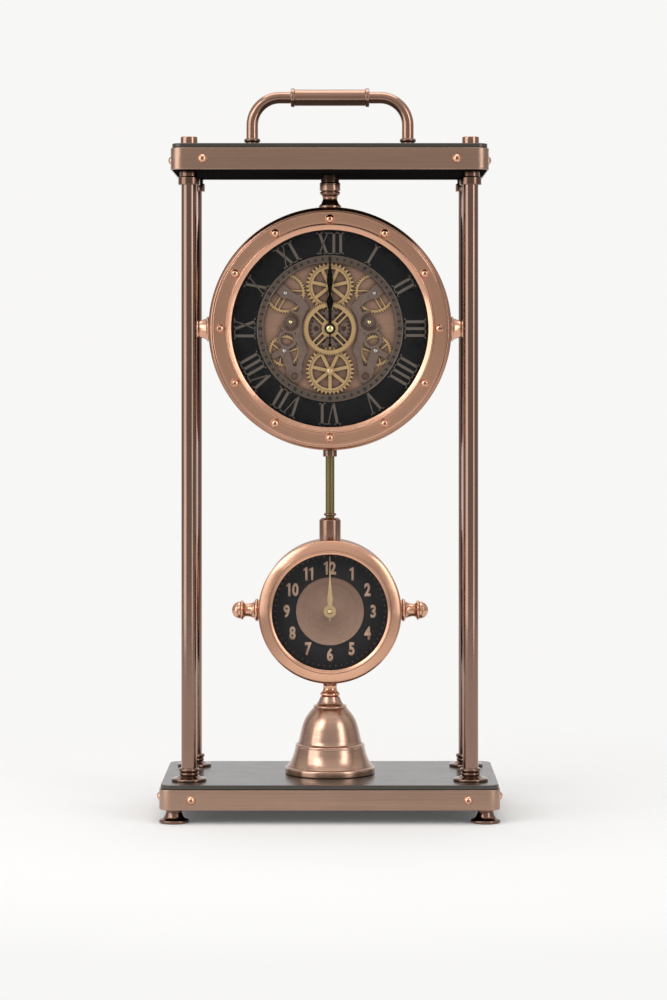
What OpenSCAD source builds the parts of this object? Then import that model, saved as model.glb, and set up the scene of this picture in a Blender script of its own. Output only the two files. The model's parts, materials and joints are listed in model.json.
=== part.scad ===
// Copper floor clock: a skeleton clock hung in a four-post frame, linked by a rod
// to a smaller clock that stands on a bell-shaped foot.
// Millimetres, +Z up, +Y to the back, origin on the floor under the middle of the base.

/* [Frame] */
// Width of the base band
base_w = 347; // [320:1:420]
// Depth of the base band
base_d = 186; // [170:1:240]
// How far the top board stands in from the base on each side
top_step = 11; // [0:1:16]
// Corner radius of both boards
corner_r = 13; // [5:1:24]
// Height of the base band
base_band_h = 20.6; // [16:0.1:30]
// Height of the top band
top_band_h = 22.2; // [16:0.1:30]
// Wall of the metal bands
band_t = 1.6; // [1:0.1:3]
// Thickness of the dark plates
plate_t = 4.7; // [3:0.1:8]
// How far the dark plates stand in from the bands
plate_inset = 1.5; // [0.5:0.1:3]
// Distance of the band screws from the corners
band_screw_edge = 33; // [26:0.5:44]
// Height of the domed screw heads on the bands
band_screw_h = 3.8; // [2:0.1:4.6]
// Radius of the domed screw heads on the bands
band_screw_r = 4.75; // [3.5:0.05:6]

/* [Posts and feet] */
// Height of a post between the two boards
post_h = 625.4; // [612:0.2:700]
// Outer radius of a post
post_r = 7.9; // [6:0.1:10]
// Wall of a post
post_wall = 1.4; // [1:0.1:2.4]
// Distance of the post axes from the base's left and right edges
post_edge_x = 29; // [26:0.5:40]
// Distance of the post axes from the base's front and rear edges
post_edge_y = 38; // [26:0.5:42]
// Radius of the turned flange at the foot of a post
post_flange_r = 18; // [14:0.5:22]
// Height of the turned flange
post_flange_h = 13; // [11:0.5:20]
// Height of the collar at the top of a post
post_collar_h = 14.4; // [10:0.1:24]
// Radius of the cap nuts over the posts
cap_r = 8.7; // [6:0.1:11]
// Height of the cap nuts
cap_h = 8.2; // [5:0.1:14]
// Radius of the tie rods inside the posts
tie_r = 3; // [2:0.1:4]
// Height of a foot
foot_h = 14.3; // [12:0.1:30]
// Radius of a foot on the floor
foot_r = 15.4; // [11:0.1:18]
// Distance of the foot axes from the base's edges
foot_edge = 15.5; // [15.5:0.5:26]

/* [Handle] */
// Height of the handle's axis over the top plate
handle_rise = 53.6; // [44:0.2:80]
// Distance of a handle leg from the middle
handle_x = 81.3; // [70:0.1:110]
// Radius of the handle tube
handle_r = 6.15; // [4:0.05:7]
// Radius of the handle's bends
handle_bend = 29; // [15:0.5:32]
// Radius of the grip sleeve
grip_r = 8.6; // [7.5:0.1:12]
// Half of the grip's length, to the middle of its end rings
grip_x = 38.9; // [26:0.1:45]
// Radius of the grip's end rings
grip_ring_r = 9.9; // [9:0.1:14]

/* [Main clock] */
// Height of the main dial's centre over the base plate
main_rise = 464.2; // [458:0.1:470]
// Outer radius of the main case
main_r = 126.5; // [120:0.5:130]
// Depth of the main case behind the bezel
main_depth = 55; // [48:1:70]
// Wall of the main case
case_wall = 3; // [2:0.1:4]
// How far the bezel ring stands in from the case's edge
bezel_step = 5; // [3.5:0.1:6]
// Width of the bezel ring
bezel_w = 20.3; // [19:0.1:24]
// Distance of the bezel screws from the bezel's edge
bezel_screw_inset = 7.9; // [6.5:0.1:8.5]
// Number of bezel screws
bezel_screws_n = 12; // [6:1:18]
// Radius of the bezel screw heads
bezel_screw_r = 4.7; // [3:0.1:5]
// Inner radius of the black chapter ring
chapter_in_r = 76.2; // [74:0.1:82]
// Inner radius of the minute track
track_in_r = 68.6; // [66:0.1:70]
// Length of the minute hand
minute_len = 76; // [60:0.5:90]
// Length of the hour hand
hour_len = 40; // [30:0.5:50]
// Length of the side cones
cone_len = 12.5; // [8:0.5:24]

/* [Wheel train] */
// Tooth module of the meshing wheels
gear_m = 1.4; // [1.3:0.01:1.42]
// Teeth of the top and bottom wheels
wheel_n = 34; // [30:1:34]
// Teeth of the transfer wheel behind the centre wheel
transfer_n = 29; // [27:2:31]
// Share of a tooth left free for backlash
tooth_play = 0.12; // [0.08:0.01:0.2]
// Tip radius of the centre wheel
centre_tip_r = 28; // [25:0.1:29]
// Teeth of the centre wheel
centre_n = 70; // [50:2:90]
// Tip radius of the upper side wheels
upper_wheel_r = 21.3; // [18:0.1:21.5]
// Tip radius of the lower side wheels
lower_wheel_r = 17.2; // [14:0.1:18]

/* [Link and small clock] */
// Radius of the link rod
rod_r = 4.65; // [3.5:0.05:6]
// Height of the small dial's centre over the base plate
sub_rise = 170.2; // [166:0.1:176]
// Outer radius of the small case
sub_r = 73.2; // [69:0.1:76]
// How far the small bezel stands out over its case
sub_bezel_over = 1.2; // [0.6:0.1:2.4]
// Width of the small bezel
sub_bezel_w = 14.6; // [12:0.1:18]
// Depth of the small case behind the bezel
sub_depth = 60; // [46:1:70]
// Radius of the copper disc in the small dial
sub_disc_r = 35.3; // [26:0.1:38]
// Clearance between the small minute hand and the small bezel's opening
sub_hand_gap = 2.8; // [1:0.1:10]
// Length of the small hour hand
sub_hour_len = 38; // [26:0.5:42]
// Length of the side knobs
knob_len = 29.4; // [22:0.1:34]

/* [Bell foot] */
// Radius of the bell's rim
bell_r = 46.9; // [42:0.1:56]
// Height of the bell without the neck
bell_h = 80; // [70:0.5:84]
// Wall of the bell
bell_t = 2.4; // [1.6:0.1:4]

/* [Fits] */
// Radial clearance of a turning fit
run_fit = 0.05; // [0.02:0.01:0.1]
// Clearance of a fixed fit
seat_fit = 0.05; // [0.02:0.01:0.15]

/* [Hidden] */
$fn = 96;

// Heights of the frame
z_base = foot_h;
z_plate = z_base + base_band_h;
z_deck = z_plate + plate_t;
z_top = z_deck + post_h;
z_top_plate = z_top + top_band_h;
z_roof = z_top_plate + plate_t;
top_w = base_w - 2 * top_step;
top_d = base_d - 2 * top_step;
post_x = base_w / 2 - post_edge_x;
post_y = base_d / 2 - post_edge_y;
foot_x = base_w / 2 - foot_edge;
foot_y = base_d / 2 - foot_edge;
handle_z = z_roof + handle_rise;
handle_root = 12;
foot_stud_r = 2.5;
foot_stud_l = 10;
screw_shank_r = 2;
screw_shank_l = 12;
tie_head_r = 5;
tie_head_h = 4;
cap_grip = cap_h - 3;
grip_ring_w = 4.5;
stem_pin_r = 4;
stem_pin_l = 8;

// Levels of the main clock, counted forwards from the frame's middle plane
main_z = z_deck + main_rise;
main_front = 25;
main_back = main_front - main_depth;
flange_t = 5;
dial_front = main_front - flange_t;
chapter_t = 2.5;
dial_drop = 8;
plate_front = dial_front - dial_drop;
gear_plate_t = 2;
plate_back = plate_front - gear_plate_t;
case_in_r = main_r - case_wall;
bezel_r = main_r - bezel_step;
bezel_in_r = bezel_r - bezel_w;
bezel_screw_circle = bezel_r - bezel_screw_inset;
bezel_land = 5;
lens_t = 2;
lens_lip = 3.4;
bezel_h = 7;
chapter_seat = 10;
track_lip = 2.6;
track_rise = 0.8;
bridge_lift = 2;
bridge_t = 2;
bridge_front = plate_front + bridge_lift + bridge_t;
end_play = 0.3;
wheel_back = plate_front + bridge_lift;
wheel_t = 2.5;
wheel_front = wheel_back + wheel_t;
drum_wheel_t = 0.7;
centre_back = wheel_front + drum_wheel_t;
centre_t = 2;
centre_front = centre_back + centre_t;
hand_t = 0.8;
hour_back = centre_front + 0.9;
minute_back = hour_back + hand_t + 0.6;
minute_front = minute_back + hand_t;
knob_gap = 1;

// Shafts of both movements
bush_r = 4;
pipe_r = 3.2;
shaft_r = 2;
movement_w = 56;
movement_t = 18;
set_knob_r = 8;
set_knob_h = 6;

// Wheel train
train_d = gear_m * (wheel_n + transfer_n) / 2;
arbor_r = 1.5;
sleeve_r = 5.5;
wheel_hub_r = 4.3;
wheel_spokes = 7;

// Bridges: screws, pinion and windows of the right one, seen from the front
upper_screw = [46.5, 37];
lower_screw = [47.5, -23];
pinion_at = [41, 6.9];
window_at = [44.5, -11.1];
lobe_at = [36.8, -49.3];
boss_r = 3;
bridge_screw_r = 2.4;
pinion_r = 6.6;

// Link and small clock
sub_z = z_deck + sub_rise;
sub_front = 23;
sub_bezel_r = sub_r + sub_bezel_over;
sub_open_r = sub_bezel_r - sub_bezel_w;
sub_minute_len = sub_open_r - sub_hand_gap;
sub_back = sub_front - sub_depth;
sub_flange_t = 7;
sub_wall = 2.5;
sub_dial_front = sub_front - sub_flange_t;
sub_dial_t = 2;
sub_disc_t = 0.6;
sub_bezel_h = 9;
sub_movement_w = 50;
sub_hour_back = sub_dial_front + sub_disc_t + 1;
sub_minute_back = sub_hour_back + hand_t + 0.6;
ferrule_r = 11.3;
ferrule_h = 23.4;
bell_top = z_deck + bell_h;
neck_stud_l = bell_h + plate_t + base_band_h - 4;

copper = [0.72, 0.52, 0.42];
brown_copper = [0.53, 0.42, 0.35];
post_copper = [0.49, 0.37, 0.30];
dark_plate = [0.22, 0.20, 0.18];
black = [0.08, 0.08, 0.08];
gold = [0.76, 0.61, 0.40];
bronze = [0.48, 0.41, 0.37];
olive_brass = [0.56, 0.51, 0.32];
steel = [0.75, 0.75, 0.75];
clear = [0.85, 0.9, 0.92, 0.3];

// Points and outlines

function polar(r, a) = [r * cos(a), r * sin(a)];

// Points on an arc about (cx, cy)
function arc(cx, cy, r, a0, a1, n = 6) =
    [for (i = [0:n]) let (a = a0 + (a1 - a0) * i / n) [cx + r * cos(a), cy + r * sin(a)]];

// Points from a to b whose radius changes by a power of the way gone
function flare(a, b, bow, n = 8) =
    [for (i = [0:n]) let (t = i / n) [a[0] + (b[0] - a[0]) * pow(t, bow), a[1] + (b[1] - a[1]) * t]];

// Points of a half-round bead of radius r standing out from its wall, from z0 to z1
function bead(r, z0, z1, n = 6) =
    let (h = (z1 - z0) / 2)
    [for (i = [0:n]) let (a = -90 + 180 * i / n) [r - h + h * cos(a), z0 + h + h * sin(a)]];

// Points of a domed head of radius r and height h that stands on level z
function dome(r, h, z, n = 6) =
    let (big = (r * r + h * h) / (2 * h), c = z + h - big, a0 = asin((z - c) / big))
    [for (i = [0:n]) let (a = a0 + (90 - a0) * i / n) [big * cos(a), c + big * sin(a)]];

// Half of a tooth's angle at radius r, on an involute of 20 degrees
function unwound(a) = tan(a) * 180 / PI - a;
function tooth_half(n, m, r) =
    90 / n * (1 - tooth_play) + unwound(20) - unwound(acos(min(1, m * n / 2 * cos(20) / r)));

// Outline of a meshing wheel with n teeth of module m, with a tooth at angle turn
function wheel_outline(n, m, turn) =
    let (tip = m * (n / 2 + 1), root = m * (n / 2 - 1.25), base = m * n / 2 * cos(20))
    let (radii = [for (k = [0:3]) base + (tip - base) * k / 3])
    [for (i = [0:n - 1]) let (c = turn + i * 360 / n)
        each concat(
            [polar(root, c - tooth_half(n, m, base))],
            [for (k = [0:3]) polar(radii[k], c - tooth_half(n, m, radii[k]))],
            [for (k = [3:-1:0]) polar(radii[k], c + tooth_half(n, m, radii[k]))],
            [polar(root, c + tooth_half(n, m, base))])];

// Outline of a wheel with n plain tapered teeth
function crown_outline(n, root, tip) =
    [for (i = [0:n - 1]) let (c = i * 360 / n, p = 360 / n)
        each [polar(root, c - 0.29 * p), polar(tip, c - 0.15 * p),
              polar(tip, c + 0.15 * p), polar(root, c + 0.29 * p)]];

// Half width of a spade hand at height y: a thin stem, a swelling at peak and a point at len
function spade(y, len, peak, fat, thin) =
    y < peak ? thin + (fat - thin) * pow(max(0, (y - 0.55 * peak) / (0.45 * peak)), 2)
             : fat * pow((len - y) / (len - peak), 1.3);
function spade_outline(len, peak, fat, thin, n = 18) =
    concat(
        [for (i = [0:n]) let (y = len * i / n) [max(0.15, spade(y, len, peak, fat, thin)), y]],
        [for (i = [n:-1:0]) let (y = len * i / n) [-max(0.15, spade(y, len, peak, fat, thin)), y]]);

module rounded(w, d, r) {
    square([w - 2 * r, d], center = true);
    square([w, d - 2 * r], center = true);
    for (sx = [-1, 1], sy = [-1, 1])
        translate([sx * (w / 2 - r), sy * (d / 2 - r)]) circle(r);
}

module ring(r_out, r_in) {
    difference() {
        circle(r_out);
        circle(r_in);
    }
}

module revolve(points) {
    rotate_extrude() polygon(points);
}

// A flat limb with round knuckles between two points
module limb(a, b, r) {
    d = b - a;
    half = r * 0.94;
    translate(a) rotate(atan2(d[1], d[0])) translate([0, -half]) square([norm(d), 2 * half]);
    translate(a) circle(r);
    translate(b) circle(r);
}

module slab(z0, z1) {
    translate([0, 0, z0]) linear_extrude(z1 - z0) children();
}

// Places that repeat

module at_posts() {
    for (sx = [-1, 1], sy = [-1, 1]) translate([sx * post_x, sy * post_y, 0]) children();
}

module at_feet() {
    for (sx = [-1, 1], sy = [-1, 1]) translate([sx * foot_x, sy * foot_y, 0]) children();
}

module at_handle_legs() {
    for (sx = [-1, 1]) translate([sx * handle_x, 0, 0]) children();
}

module at_band_screws(w, d, z) {
    for (sx = [-1, 1], sy = [-1, 1]) {
        translate([sx * (w / 2 - band_screw_edge), sy * d / 2, z]) rotate([-90 * sy, 0, 0]) children();
        translate([sx * w / 2, sy * (d / 2 - band_screw_edge), z]) rotate([0, 90 * sx, 0]) children();
    }
}

module at_all_band_screws() {
    at_band_screws(base_w, base_d, z_base + base_band_h / 2) children();
    at_band_screws(top_w, top_d, z_top + top_band_h / 2) children();
}

// Main and small dial frames: x to the right, y up, z forwards
module at_main() {
    translate([0, 0, main_z]) rotate([90, 0, 0]) children();
}

module at_sub() {
    translate([0, 0, sub_z]) rotate([90, 0, 0]) children();
}

module both_sides() {
    children();
    mirror([1, 0, 0]) children();
}

module at_bezel_screws() {
    for (i = [0:bezel_screws_n - 1]) rotate(90 - i * 360 / bezel_screws_n)
        translate([bezel_screw_circle, 0, 0]) children();
}

// The outer faces of the two cases, for pieces that are saddled onto them
module main_saddle() {
    at_main() translate([0, 0, main_back - 1]) cylinder(r = main_r + seat_fit, h = main_depth + 2);
}

module sub_saddle() {
    at_sub() translate([0, 0, sub_back - 1]) cylinder(r = sub_r + seat_fit, h = sub_depth + 2);
}

// Frame

module band(w, d, h, z) {
    color(brown_copper) difference() {
        slab(z, z + h) difference() {
            rounded(w, d, corner_r);
            rounded(w - 2 * band_t, d - 2 * band_t, corner_r - band_t);
        }
        at_band_screws(w, d, z + h / 2) cylinder(r = screw_shank_r + seat_fit, h = 3 * band_t, center = true);
    }
}

module board_blank(w, d, h, z) {
    skin = band_t + seat_fit;
    difference() {
        slab(z, z + h) rounded(w - 2 * skin, d - 2 * skin, corner_r - band_t);
        at_band_screws(w, d, z + h / 2) translate([0, 0, -screw_shank_l - seat_fit])
            cylinder(r = screw_shank_r + seat_fit, h = screw_shank_l + band_t);
        at_posts() translate([0, 0, z - 1]) cylinder(r = tie_r + seat_fit, h = h + 2);
    }
}

module plate_blank(w, d, z) {
    difference() {
        slab(z, z + plate_t) rounded(w - 2 * plate_inset, d - 2 * plate_inset, corner_r - plate_inset);
        at_posts() translate([0, 0, z - 1]) cylinder(r = tie_r + seat_fit, h = plate_t + 2);
    }
}

module base_band() {
    band(base_w, base_d, base_band_h, z_base);
}

module base_board() {
    color(black) difference() {
        board_blank(base_w, base_d, base_band_h, z_base);
        at_posts() translate([0, 0, z_base - 1]) cylinder(r = tie_head_r + seat_fit, h = tie_head_h + 1);
        at_feet() translate([0, 0, z_base - 1])
            cylinder(r = foot_stud_r + seat_fit, h = foot_stud_l + 1 + seat_fit);
        translate([0, 0, bell_top - neck_stud_l - seat_fit])
            cylinder(r = stem_pin_r + seat_fit, h = neck_stud_l);
    }
}

module base_plate() {
    color(dark_plate) difference() {
        plate_blank(base_w, base_d, z_plate);
        translate([0, 0, z_plate - 1]) cylinder(r = stem_pin_r + seat_fit, h = plate_t + 2);
    }
}

module top_band() {
    band(top_w, top_d, top_band_h, z_top);
}

module top_board() {
    color(black) difference() {
        board_blank(top_w, top_d, top_band_h, z_top);
        at_handle_legs() translate([0, 0, z_top_plate - handle_root + plate_t - seat_fit])
            cylinder(r = handle_r + seat_fit, h = handle_root);
        translate([0, 0, z_top - 1]) cylinder(r = stem_pin_r + seat_fit, h = stem_pin_l + 1 + seat_fit);
    }
}

module top_plate() {
    color(dark_plate) difference() {
        plate_blank(top_w, top_d, z_top_plate);
        at_handle_legs() translate([0, 0, z_top_plate - 1])
            cylinder(r = handle_r + seat_fit, h = plate_t + 2);
    }
}

module feet() {
    rim = 3.6;
    neck = 8.5;
    color(post_copper) at_feet() {
        revolve(concat(
            [[0, 0], [foot_r - 1.2, 0]], arc(foot_r - 1.2, rim / 2, rim / 2 * 0.98, -80, 80, 5),
            flare([foot_r - 2.2, rim + 0.4], [neck - 0.4, foot_h - 3], 0.42, 7),
            [[neck, foot_h - 2.4], [neck, foot_h], [0, foot_h]]));
        translate([0, 0, foot_h]) cylinder(r = foot_stud_r, h = foot_stud_l);
    }
}

module band_screws() {
    recess_r = 1.5;
    recess_d = 1.1;
    color(copper) at_all_band_screws() difference() {
        revolve(concat([[0, -screw_shank_l], [screw_shank_r, -screw_shank_l], [screw_shank_r, 0]],
            dome(band_screw_r, band_screw_h, 0)));
        translate([0, 0, band_screw_h - recess_d]) cylinder(r = recess_r, h = 2 * recess_d, $fn = 6);
    }
}

module post(sx, sy) {
    color(post_copper) translate([sx * post_x, sy * post_y, z_deck]) difference() {
        cylinder(r = post_r, h = post_h);
        translate([0, 0, -1]) cylinder(r = post_r - post_wall, h = post_h + 2);
    }
}

module post_flanges() {
    rim = 2.4;
    upper = post_flange_h - 3.8;
    lower = upper - 4;
    in_r = post_r + seat_fit;
    color(post_copper) at_posts() translate([0, 0, z_deck]) revolve(concat(
        [[in_r, 0], [post_flange_r, 0], [post_flange_r, rim]],
        flare([post_flange_r - 1, rim + 0.5], [post_r + 2.1, lower], 0.45),
        bead(post_r + 2.2, lower + 0.2, upper - 0.2),
        bead(post_r + 2.9, upper, post_flange_h),
        [[in_r, post_flange_h]]));
}

module post_collars() {
    ring_h = 8.2;
    soft = 0.8;
    in_r = post_r + seat_fit;
    ring_r = post_r + 3.2;
    sleeve = post_r + 1.5;
    color(post_copper) at_posts() translate([0, 0, z_top - post_collar_h]) revolve(concat(
        [[in_r, 0]], arc(ring_r - soft, soft, soft, -90, 0, 4),
        arc(ring_r - soft, ring_h - soft, soft, 0, 90, 4),
        [[sleeve, ring_h], [sleeve, post_collar_h], [in_r, post_collar_h]]));
}

module post_caps() {
    soft = 1;
    color(copper) at_posts() translate([0, 0, z_roof]) revolve(concat(
        [[tie_r + seat_fit, 0], [cap_r, 0]], arc(cap_r - soft, cap_h - soft, soft, 0, 90, 4),
        [[0, cap_h], [0, cap_grip], [tie_r + seat_fit, cap_grip]]));
}

module tie_rods() {
    color(steel) at_posts() {
        translate([0, 0, z_base]) cylinder(r = tie_head_r, h = tie_head_h - seat_fit);
        translate([0, 0, z_base]) cylinder(r = tie_r, h = z_roof + cap_grip - z_base - seat_fit);
    }
}

// Handle

module handle_bail() {
    leg_top = handle_z - handle_bend;
    span = handle_x - handle_bend;
    color(copper) {
        both_sides() {
            translate([handle_x, 0, z_roof - handle_root])
                cylinder(r = handle_r, h = leg_top - z_roof + handle_root);
            translate([span, 0, leg_top]) rotate([90, 0, 0])
                rotate_extrude(angle = 90) translate([handle_bend, 0]) circle(handle_r);
        }
        translate([-span, 0, handle_z]) rotate([0, 90, 0]) cylinder(r = handle_r, h = 2 * span);
    }
}

module handle_grip() {
    half = grip_x - grip_ring_w / 2;
    color(copper) translate([-half, 0, handle_z]) rotate([0, 90, 0]) difference() {
        cylinder(r = grip_r, h = 2 * half);
        translate([0, 0, -1]) cylinder(r = handle_r + seat_fit, h = 2 * half + 2);
    }
}

module handle_rings() {
    in_r = handle_r + seat_fit;
    half = grip_ring_w / 2;
    color(copper) both_sides() translate([grip_x, 0, handle_z]) rotate([0, 90, 0])
        revolve(concat([[in_r, -half]], bead(grip_ring_r, -half, half), [[in_r, half]]));
}

module handle_flanges() {
    in_r = handle_r + seat_fit;
    color(copper) at_handle_legs() translate([0, 0, z_roof]) revolve(concat(
        [[in_r, 0], [handle_r + 3.6, 0], [handle_r + 3.6, 1.6]],
        flare([handle_r + 3, 2], [handle_r + 0.9, 6.4], 0.45, 5),
        bead(handle_r + 2.5, 6.6, 11), [[in_r, 11]]));
}

// Turned stem that hangs the main clock from the top board
module hanger_stem() {
    foot = 11.8;
    neck = 7.7;
    collar = 10.9;
    sleeve = 9.5;
    pin_root = 4;
    low = main_z + main_r;
    rise = z_top - low;
    foot_seat = main_z + sqrt(main_r * main_r - foot * foot) - 0.5;
    color(copper) difference() {
        union() {
            revolve(concat(
                [[0, foot_seat], [foot, foot_seat], [foot, low + 0.066 * rise]],
                flare([foot - 0.6, low + 0.075 * rise], [neck, low + 0.25 * rise], 0.55),
                flare([neck, low + 0.27 * rise], [sleeve - 0.3, low + 0.385 * rise], 2, 5),
                bead(collar - 0.1, low + 0.392 * rise, low + 0.484 * rise),
                [[sleeve, low + 0.495 * rise], [collar - 0.4, low + 0.51 * rise],
                 [collar, low + 0.525 * rise], [collar, low + 0.73 * rise],
                 [collar - 0.4, low + 0.745 * rise], [sleeve, low + 0.755 * rise],
                 [sleeve, z_top], [0, z_top]]));
            translate([0, 0, z_top - pin_root]) cylinder(r = stem_pin_r, h = pin_root + stem_pin_l);
        }
        main_saddle();
    }
    color(steel) translate([0, 0, low - case_wall - 2]) cylinder(r = stem_pin_r, h = case_wall + 6);
}

// Main clock

module main_case() {
    edge = 3;
    hem = 1;
    color(copper) difference() {
        at_main() revolve(concat(
            [[case_in_r, main_back], [main_r - hem, main_back], [main_r, main_back + hem]],
            arc(main_r - edge, main_front - edge, edge, 0, 90),
            [[bezel_in_r + 1.6, main_front], [bezel_in_r + 1.6, dial_front], [case_in_r, dial_front]]));
        at_main() at_bezel_screws() translate([0, 0, dial_front - 1])
            cylinder(r = screw_shank_r + seat_fit, h = flange_t + 2);
        translate([0, 0, main_z - main_r - 5]) cylinder(r = rod_r + seat_fit, h = case_wall + 10);
        translate([0, 0, main_z + main_r - case_wall - 5])
            cylinder(r = stem_pin_r + seat_fit, h = case_wall + 10);
        both_sides() translate([main_r - case_wall - 5, 0, main_z]) rotate([0, 90, 0])
            cylinder(r = stem_pin_r + seat_fit, h = case_wall + 10);
    }
}

module main_bezel() {
    land = main_front + bezel_land;
    top = main_front + bezel_h;
    soft = 1;
    seat_r = bezel_in_r + lens_lip + 0.3;
    ridge_r = bezel_screw_circle - bezel_screw_r - 0.8;
    color(copper) difference() {
        at_main() revolve(concat(
            [[seat_r, main_front], [bezel_r, main_front]], arc(bezel_r - soft, land - soft, soft, 0, 90, 4),
            [[ridge_r + 0.4, land], [ridge_r, top - 0.6]], arc(ridge_r - 0.9, top - 0.9, 0.9, 20, 110, 3),
            [[bezel_in_r, main_front + lens_t + 1], [bezel_in_r, main_front + lens_t + seat_fit],
             [seat_r, main_front + lens_t + seat_fit]]));
        at_main() at_bezel_screws() translate([0, 0, main_front - 1])
            cylinder(r = screw_shank_r + seat_fit, h = bezel_h);
    }
}

module bezel_screws() {
    head_h = 3.2;
    reach = 9.5;
    recess_r = 1.4;
    color(copper) at_main() at_bezel_screws() translate([0, 0, main_front + bezel_land]) difference() {
        revolve(concat([[0, -reach], [screw_shank_r, -reach], [screw_shank_r, 0]],
            dome(bezel_screw_r, head_h, 0)));
        translate([0, 0, head_h - 1]) cylinder(r = recess_r, h = 2, $fn = 6);
    }
}

module main_lens() {
    color(clear) at_main() translate([0, 0, main_front]) cylinder(r = bezel_in_r + lens_lip, h = lens_t);
}

module chapter_ring() {
    out_r = case_in_r - seat_fit;
    color(black) at_main() revolve([
        [chapter_in_r + seat_fit, dial_front - chapter_t], [out_r - chapter_seat, dial_front - chapter_t],
        [out_r - chapter_seat, plate_front], [out_r, plate_front], [out_r, dial_front],
        [chapter_in_r + seat_fit, dial_front]]);
}

module minute_track() {
    back = dial_front - chapter_t;
    color(bronze) at_main() revolve([
        [track_in_r, back], [track_in_r + track_lip, back], [track_in_r + track_lip, back - 1.5],
        [chapter_in_r + 4, back - 1.5], [chapter_in_r + 4, back], [chapter_in_r, back],
        [chapter_in_r, dial_front + track_rise], [track_in_r + 0.4, dial_front + track_rise],
        [track_in_r, dial_front + track_rise - 0.4]]);
}

module gear_plate() {
    head_r = 2.6;
    head_back = wheel_front + 0.7 + end_play;
    color(brown_copper) at_main() {
        slab(plate_back, plate_front) ring(case_in_r - seat_fit, bush_r + seat_fit);
        both_sides() for (p = [upper_screw, lower_screw])
            translate([p[0], p[1], 0]) slab(plate_front, wheel_back) ring(boss_r, 1 + seat_fit);
        for (s = [-1, 1]) translate([0, s * train_d, plate_back]) {
            cylinder(r = arbor_r, h = head_back - plate_back + 0.8);
            translate([0, 0, head_back - plate_back]) cylinder(r = head_r, h = 0.8);
        }
    }
}

// Flat outline of the right bridge
module bridge_outline() {
    shoulder = [34, 31];
    elbow = [26.5, 22.5];
    waist_top = [32, 11];
    waist = [32, -10];
    hip = [27.5, -22.5];
    shin = [34, -40];
    calf = [43, -36];
    difference() {
        union() {
            limb([53, 43], upper_screw, 6);
            limb(upper_screw, shoulder, 4.6);
            limb(shoulder, elbow, 4.4);
            limb(elbow, waist_top, 4.5);
            limb(waist_top, waist, 3.8);
            limb(waist, hip, 4.2);
            limb(hip, shin, 3.7);
            limb(shin, lobe_at, 5.4);
            translate(lobe_at) circle(7.8);
            limb(lobe_at, [39.5, -56], 4.6);
            translate(pinion_at) circle(12);
            translate(window_at) circle(10);
            limb(lower_screw, [60, -29], 3.2);
            limb(lower_screw, calf, 5);
            limb(calf, [41, -48], 4);
        }
        translate(pinion_at) circle(9.4);
        translate([pinion_at[0] + 6, pinion_at[1] + 4]) circle(9);
        translate(window_at) circle(6.8);
        limb([34.5, -27], [36.5, -37], 2.2);
        translate(lobe_at) circle(4.1);
        for (p = [upper_screw, lower_screw]) translate(p) circle(1 + seat_fit);
    }
}

module bridge() {
    rim = 0.5;
    at_main() slab(wheel_back, bridge_front) bridge_outline();
    at_main() translate([lobe_at[0], lobe_at[1], bridge_front]) linear_extrude(rim) ring(6, 4.1);
}

module bridge_left() {
    color(bronze) mirror([1, 0, 0]) bridge();
}

module bridge_right() {
    color(bronze) bridge();
}

module bridge_screws() {
    reach = bridge_t + bridge_lift;
    color(steel) at_main() both_sides() for (p = [upper_screw, lower_screw])
        translate([p[0], p[1], bridge_front]) difference() {
            revolve(concat([[0, -reach], [1, -reach], [1, 0]], dome(bridge_screw_r, 1.3, 0, 4)));
            translate([0, 0, 0.8]) cylinder(r = 0.9, h = 1, $fn = 6);
        }
}

// An open side wheel with a toothed rim and twin-bar spokes
module side_wheel(tip, teeth, turn) {
    rim_in = tip - 3.6;
    slab(plate_front, wheel_back - end_play) {
        difference() {
            polygon(crown_outline(teeth, tip - 1.5, tip));
            circle(rim_in);
        }
        for (a = [0:120:240], s = [-1, 1]) rotate(turn + a)
            translate([0, s * 2.4 - 0.7]) square([rim_in + 0.6, 1.4]);
        ring(5, boss_r + seat_fit);
    }
}

module upper_wheels() {
    color(gold) at_main() both_sides() translate([upper_screw[0], upper_screw[1], 0])
        difference() {
            side_wheel(upper_wheel_r, 44, -60);
            translate([0, 0, plate_front - 1]) cylinder(r = boss_r + seat_fit, h = bridge_lift + 2);
        }
}

module lower_wheels() {
    color(gold) at_main() both_sides() translate([lower_screw[0], lower_screw[1], 0])
        difference() {
            side_wheel(lower_wheel_r, 36, -80);
            translate([0, 0, plate_front - 1]) cylinder(r = boss_r + seat_fit, h = bridge_lift + 2);
        }
}

module side_pinions() {
    color(bronze) at_main() both_sides() translate([pinion_at[0], pinion_at[1], 0]) {
        slab(plate_front, bridge_front - 0.4) polygon(crown_outline(16, pinion_r - 1.2, pinion_r));
        slab(plate_front, bridge_front + 0.3) circle(4);
        translate([0, 0, plate_front])
            revolve(concat([[0, 0]], dome(2.2, 1.4, bridge_lift + bridge_t + 0.3, 4)));
    }
}

module centre_gear() {
    rim_in = centre_tip_r - 5.4;
    hub = 8.5;
    spoke = 3.4;
    slot = 1.7;
    color(gold) at_main() slab(centre_back, centre_front) difference() {
        union() {
            difference() {
                polygon(crown_outline(centre_n, centre_tip_r - 1.6, centre_tip_r));
                circle(rim_in);
            }
            circle(hub);
            for (a = [45:90:315]) rotate(a) translate([0, -spoke]) square([rim_in + 0.6, 2 * spoke]);
        }
        for (a = [45:90:315]) rotate(a) translate([hub + 0.8, -slot]) square([rim_in - hub - 1.2, 2 * slot]);
        circle(sleeve_r + seat_fit);
    }
}

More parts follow.
